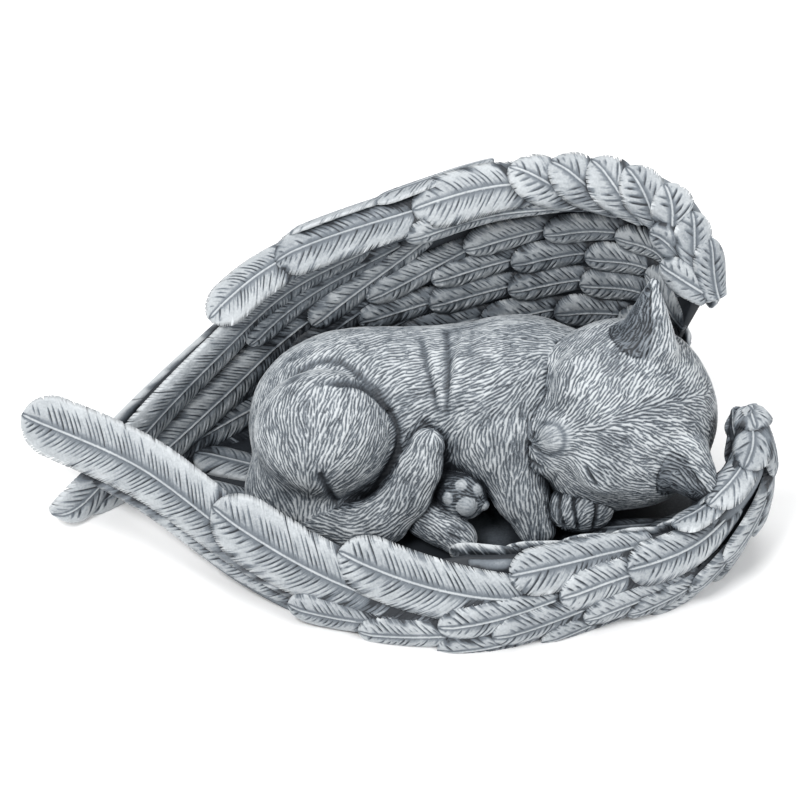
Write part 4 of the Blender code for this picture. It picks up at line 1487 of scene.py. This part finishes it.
class Recipe:
    """A material's node tree, made step by step."""

    def __init__(self, name: str) -> None:
        self.material = bpy.data.materials.new(name)
        self.material.use_nodes = True
        self.tree = self.material.node_tree
        self.shader = self.tree.nodes["Principled BSDF"]

    def node(self, kind: str, settings: dict[str, object], inputs: dict[str | int, object]) -> bpy.types.Node:
        """Add a node.

        Args:
            kind: the node's type.
            settings: properties to set first.
            inputs: a number, a colour, a socket or a channel for each named or numbered input.

        Returns:
            The node.
        """
        node = self.tree.nodes.new(kind)
        for key, value in settings.items():
            setattr(node, key, value)
        for key, value in inputs.items():
            socket = node.inputs[key] if isinstance(key, int) else self._input(node, key)
            self.feed(socket, value)
        return node

    def _input(self, node: bpy.types.Node, key: str) -> bpy.types.NodeSocket:
        """Find an input by its identifier or its name."""
        for socket in node.inputs:
            if socket.identifier == key:
                return socket
        return node.inputs[key]

    def feed(self, socket: bpy.types.NodeSocket, value: object) -> None:
        """Link a value into a socket, or set it there."""
        if isinstance(value, Channel):
            self.tree.links.new(value.socket, socket)
        elif isinstance(value, bpy.types.NodeSocket):
            self.tree.links.new(value, socket)
        else:
            socket.default_value = value

    def stored(self, name: str) -> Channel:
        """Return a number stored at the piece's points."""
        return Channel(self, self.node("ShaderNodeAttribute", {"attribute_name": name}, {}).outputs["Fac"])

    def noise(self, scale: float, detail: float, roughness: float = 0.55) -> Channel:
        """Return noise over the piece, around a half, its scale in waves to the metre."""
        place = self.node("ShaderNodeTexCoord", {}, {}).outputs["Object"]
        inputs = {"Vector": place, "Scale": scale, "Detail": detail, "Roughness": roughness}
        return Channel(self, self.node("ShaderNodeTexNoise", {}, inputs).outputs[0])

    def blend(self, share: Channel, first: object, second: object) -> bpy.types.NodeSocket:
        """Mix two colours."""
        node = self.node(
            "ShaderNodeMix", {"data_type": "RGBA"},
            {"Factor_Float": share, "A_Color": first, "B_Color": second},
        )
        return next(socket for socket in node.outputs if socket.identifier == "Result_Color")

    def bump(self, height: Channel, strength: float, distance: float) -> bpy.types.NodeSocket:
        """Return a normal raised by a height."""
        inputs = {"Strength": strength, "Distance": distance, "Height": height}
        return self.node("ShaderNodeBump", {}, inputs).outputs["Normal"]


Colour = tuple[float, float, float, float]
SENSOR_WIDTH = 36.0


@dataclass(frozen=True)
class ResinFinish:
    """Cast resin, washed dark in its recesses and brushed pale on its ridges, with painted shade darkening
    the places that the ray casts find closed in.
    """

    name: str
    wash_and_shade: Colour = (0.014, 0.018, 0.024, 1.0)
    body: Colour = (0.130, 0.152, 0.176, 1.0)
    brushed: Colour = (0.54, 0.57, 0.59, 1.0)
    roughness: float = 0.60
    offset: float = 0.0

    def mix(self) -> bpy.types.Material:
        """Make the material."""
        recipe = Recipe(self.name)
        relief, shade, tone = recipe.stored("relief"), recipe.stored("shade"), recipe.stored("tone")
        mottle = recipe.noise(95.0, 4.0) - 0.5
        speck = recipe.noise(1500.0, 2.0) - 0.5
        # Openness from the ray casts is painted shade: closed-in places go toward the dark colour, open ones
        # toward the brushed colour
        openness = shade.eased(0.12, 0.85)
        paint = relief + openness * 0.8 + tone + mottle * 0.24 + speck * 0.2 + (self.offset - 0.66)
        washed_and_shaded = recipe.blend(paint.eased(0.0, 0.45), self.wash_and_shade, self.body)
        colour = recipe.blend(paint.eased(0.38, 0.86), washed_and_shaded, self.brushed)
        recipe.feed(recipe.shader.inputs["Base Color"], colour)
        recipe.feed(recipe.shader.inputs["Roughness"], self.roughness + mottle * 0.2 - paint * 0.06)
        grain = recipe.noise(2600.0, 3.0) + recipe.noise(700.0, 3.0) * 0.8
        recipe.feed(recipe.shader.inputs["Normal"], recipe.bump(grain, 0.35, 0.00012))
        return recipe.material


@dataclass(frozen=True)
class Studio:
    """A pale floor, soft lights and the camera."""

    distance: float = 0.80
    half_frame: float = 0.1212
    aim: tuple[float, float, float] = (0.0, 0.0, 51.2)

    def build(self, shift: Points) -> None:
        """Set the stage for a statue that was moved by a shift.

        Args:
            shift: how far the statue's centre lay from the origin, in millimetres.
        """
        target = Vector(((np.array(self.aim) - shift) * UNIT).tolist())
        self._floor()
        for name, offset, size, power in (
            ("key_light", (-0.55, -0.75, 1.25), 0.6, 15.0),
            ("fill_light", (0.95, -0.55, 0.75), 0.9, 4.0),
            ("top_light", (0.0, 0.35, 1.3), 0.9, 8.0),
        ):
            self._light(name, target, offset, size, power)
        self._world()
        self._camera(target)

    def _floor(self) -> None:
        """Lay the pale floor."""
        bpy.ops.mesh.primitive_plane_add(size=8.0, location=(0, 0, 0))
        floor = bpy.context.object
        floor.name = "studio_floor"
        recipe = Recipe("studio_paper")
        recipe.feed(recipe.shader.inputs["Base Color"], (0.96, 0.96, 0.96, 1.0))
        recipe.feed(recipe.shader.inputs["Roughness"], 0.9)
        floor.data.materials.append(recipe.material)

    def _light(
        self, name: str, target: Vector, offset: tuple[float, float, float], size: float, power: float
    ) -> None:
        """Hang a soft lamp that points at the statue."""
        bpy.ops.object.light_add(type="AREA", location=target + Vector(offset))
        lamp = bpy.context.object
        lamp.name = name
        lamp.data.shape = "DISK"
        lamp.data.size = size
        lamp.data.energy = power
        lamp.rotation_euler = (target - lamp.location).to_track_quat("-Z", "Y").to_euler()

    def _world(self) -> None:
        """Fill the surroundings with even pale light."""
        world = bpy.data.worlds.new("studio_air")
        world.use_nodes = True
        backdrop = world.node_tree.nodes["Background"]
        backdrop.inputs["Color"].default_value = (1.0, 1.0, 1.0, 1.0)
        backdrop.inputs["Strength"].default_value = 0.62
        bpy.context.scene.world = world
        bpy.context.scene.view_settings.view_transform = "Standard"

    def _camera(self, target: Vector) -> None:
        """Place the camera in front, looking down at the statue."""
        bpy.ops.object.camera_add(location=target + Vector(TO_VIEWER.tolist()) * self.distance)
        camera = bpy.context.object
        camera.name = "camera"
        camera.rotation_euler = (target - camera.location).to_track_quat("-Z", "Y").to_euler()
        camera.data.sensor_width = SENSOR_WIDTH
        camera.data.lens = SENSOR_WIDTH / 2 / (self.half_frame / self.distance)
        camera.data.clip_start = 0.01
        bpy.context.scene.camera = camera


def centring_shift(pieces: Sequence[bpy.types.Object]) -> Points:
    """Return how far the middle of the pieces' plan lies from the middle of the frame's, in millimetres."""
    lowest = np.min([read_points(piece.data).min(axis=0) for piece in pieces], axis=0)
    highest = np.max([read_points(piece.data).max(axis=0) for piece in pieces], axis=0)
    frame_low, frame_high = np.array(CAD_BOX[0]), np.array(CAD_BOX[1])
    shift = (lowest + highest) / 2 - (frame_low + frame_high) / 2
    shift[2] = 0.0
    return shift / UNIT


def main() -> None:
    """Build every form, settle the painted shade and wash of the recesses, move all into the frame and set
    the stage.
    """
    logging.basicConfig(level=logging.INFO, format="%(message)s")
    deselect()
    pieces: list[bpy.types.Object] = []
    for assembly in (NestFloor(), TallWing(), LowWing(), Kitten()):
        built = assembly.build()
        LOG.info("%s: %d pieces", type(assembly).__name__, len(built))
        pieces += built
    # Painted shade: ray-cast occlusion darkens each closed-in point, together with the statue's dark wash
    # there
    OcclusionShadeAndWash().settle(pieces)
    shift = centring_shift(pieces)
    feather_finish = ResinFinish("resin_feathers", offset=-0.02).mix()
    fur_finish = ResinFinish("resin_fur").mix()
    plain_finish = ResinFinish("resin_walls", offset=-0.12).mix()
    for piece in pieces:
        write_points(piece.data, read_points(piece.data) - shift * UNIT)
        piece.data.materials.clear()
        if piece.name.startswith("kitten"):
            piece.data.materials.append(fur_finish)
        elif "feathers" in piece.name or "coverts" in piece.name:
            piece.data.materials.append(feather_finish)
        else:
            piece.data.materials.append(plain_finish)
        piece.data.shade_smooth()
        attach(piece, "root")
        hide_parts(NODE)
        triangles = sum(len(face.vertices) - 2 for face in piece.data.polygons)
        LOG.info("%s: %d triangles", piece.name, triangles)
    Studio().build(shift)


if __name__ == "__main__":
    main()
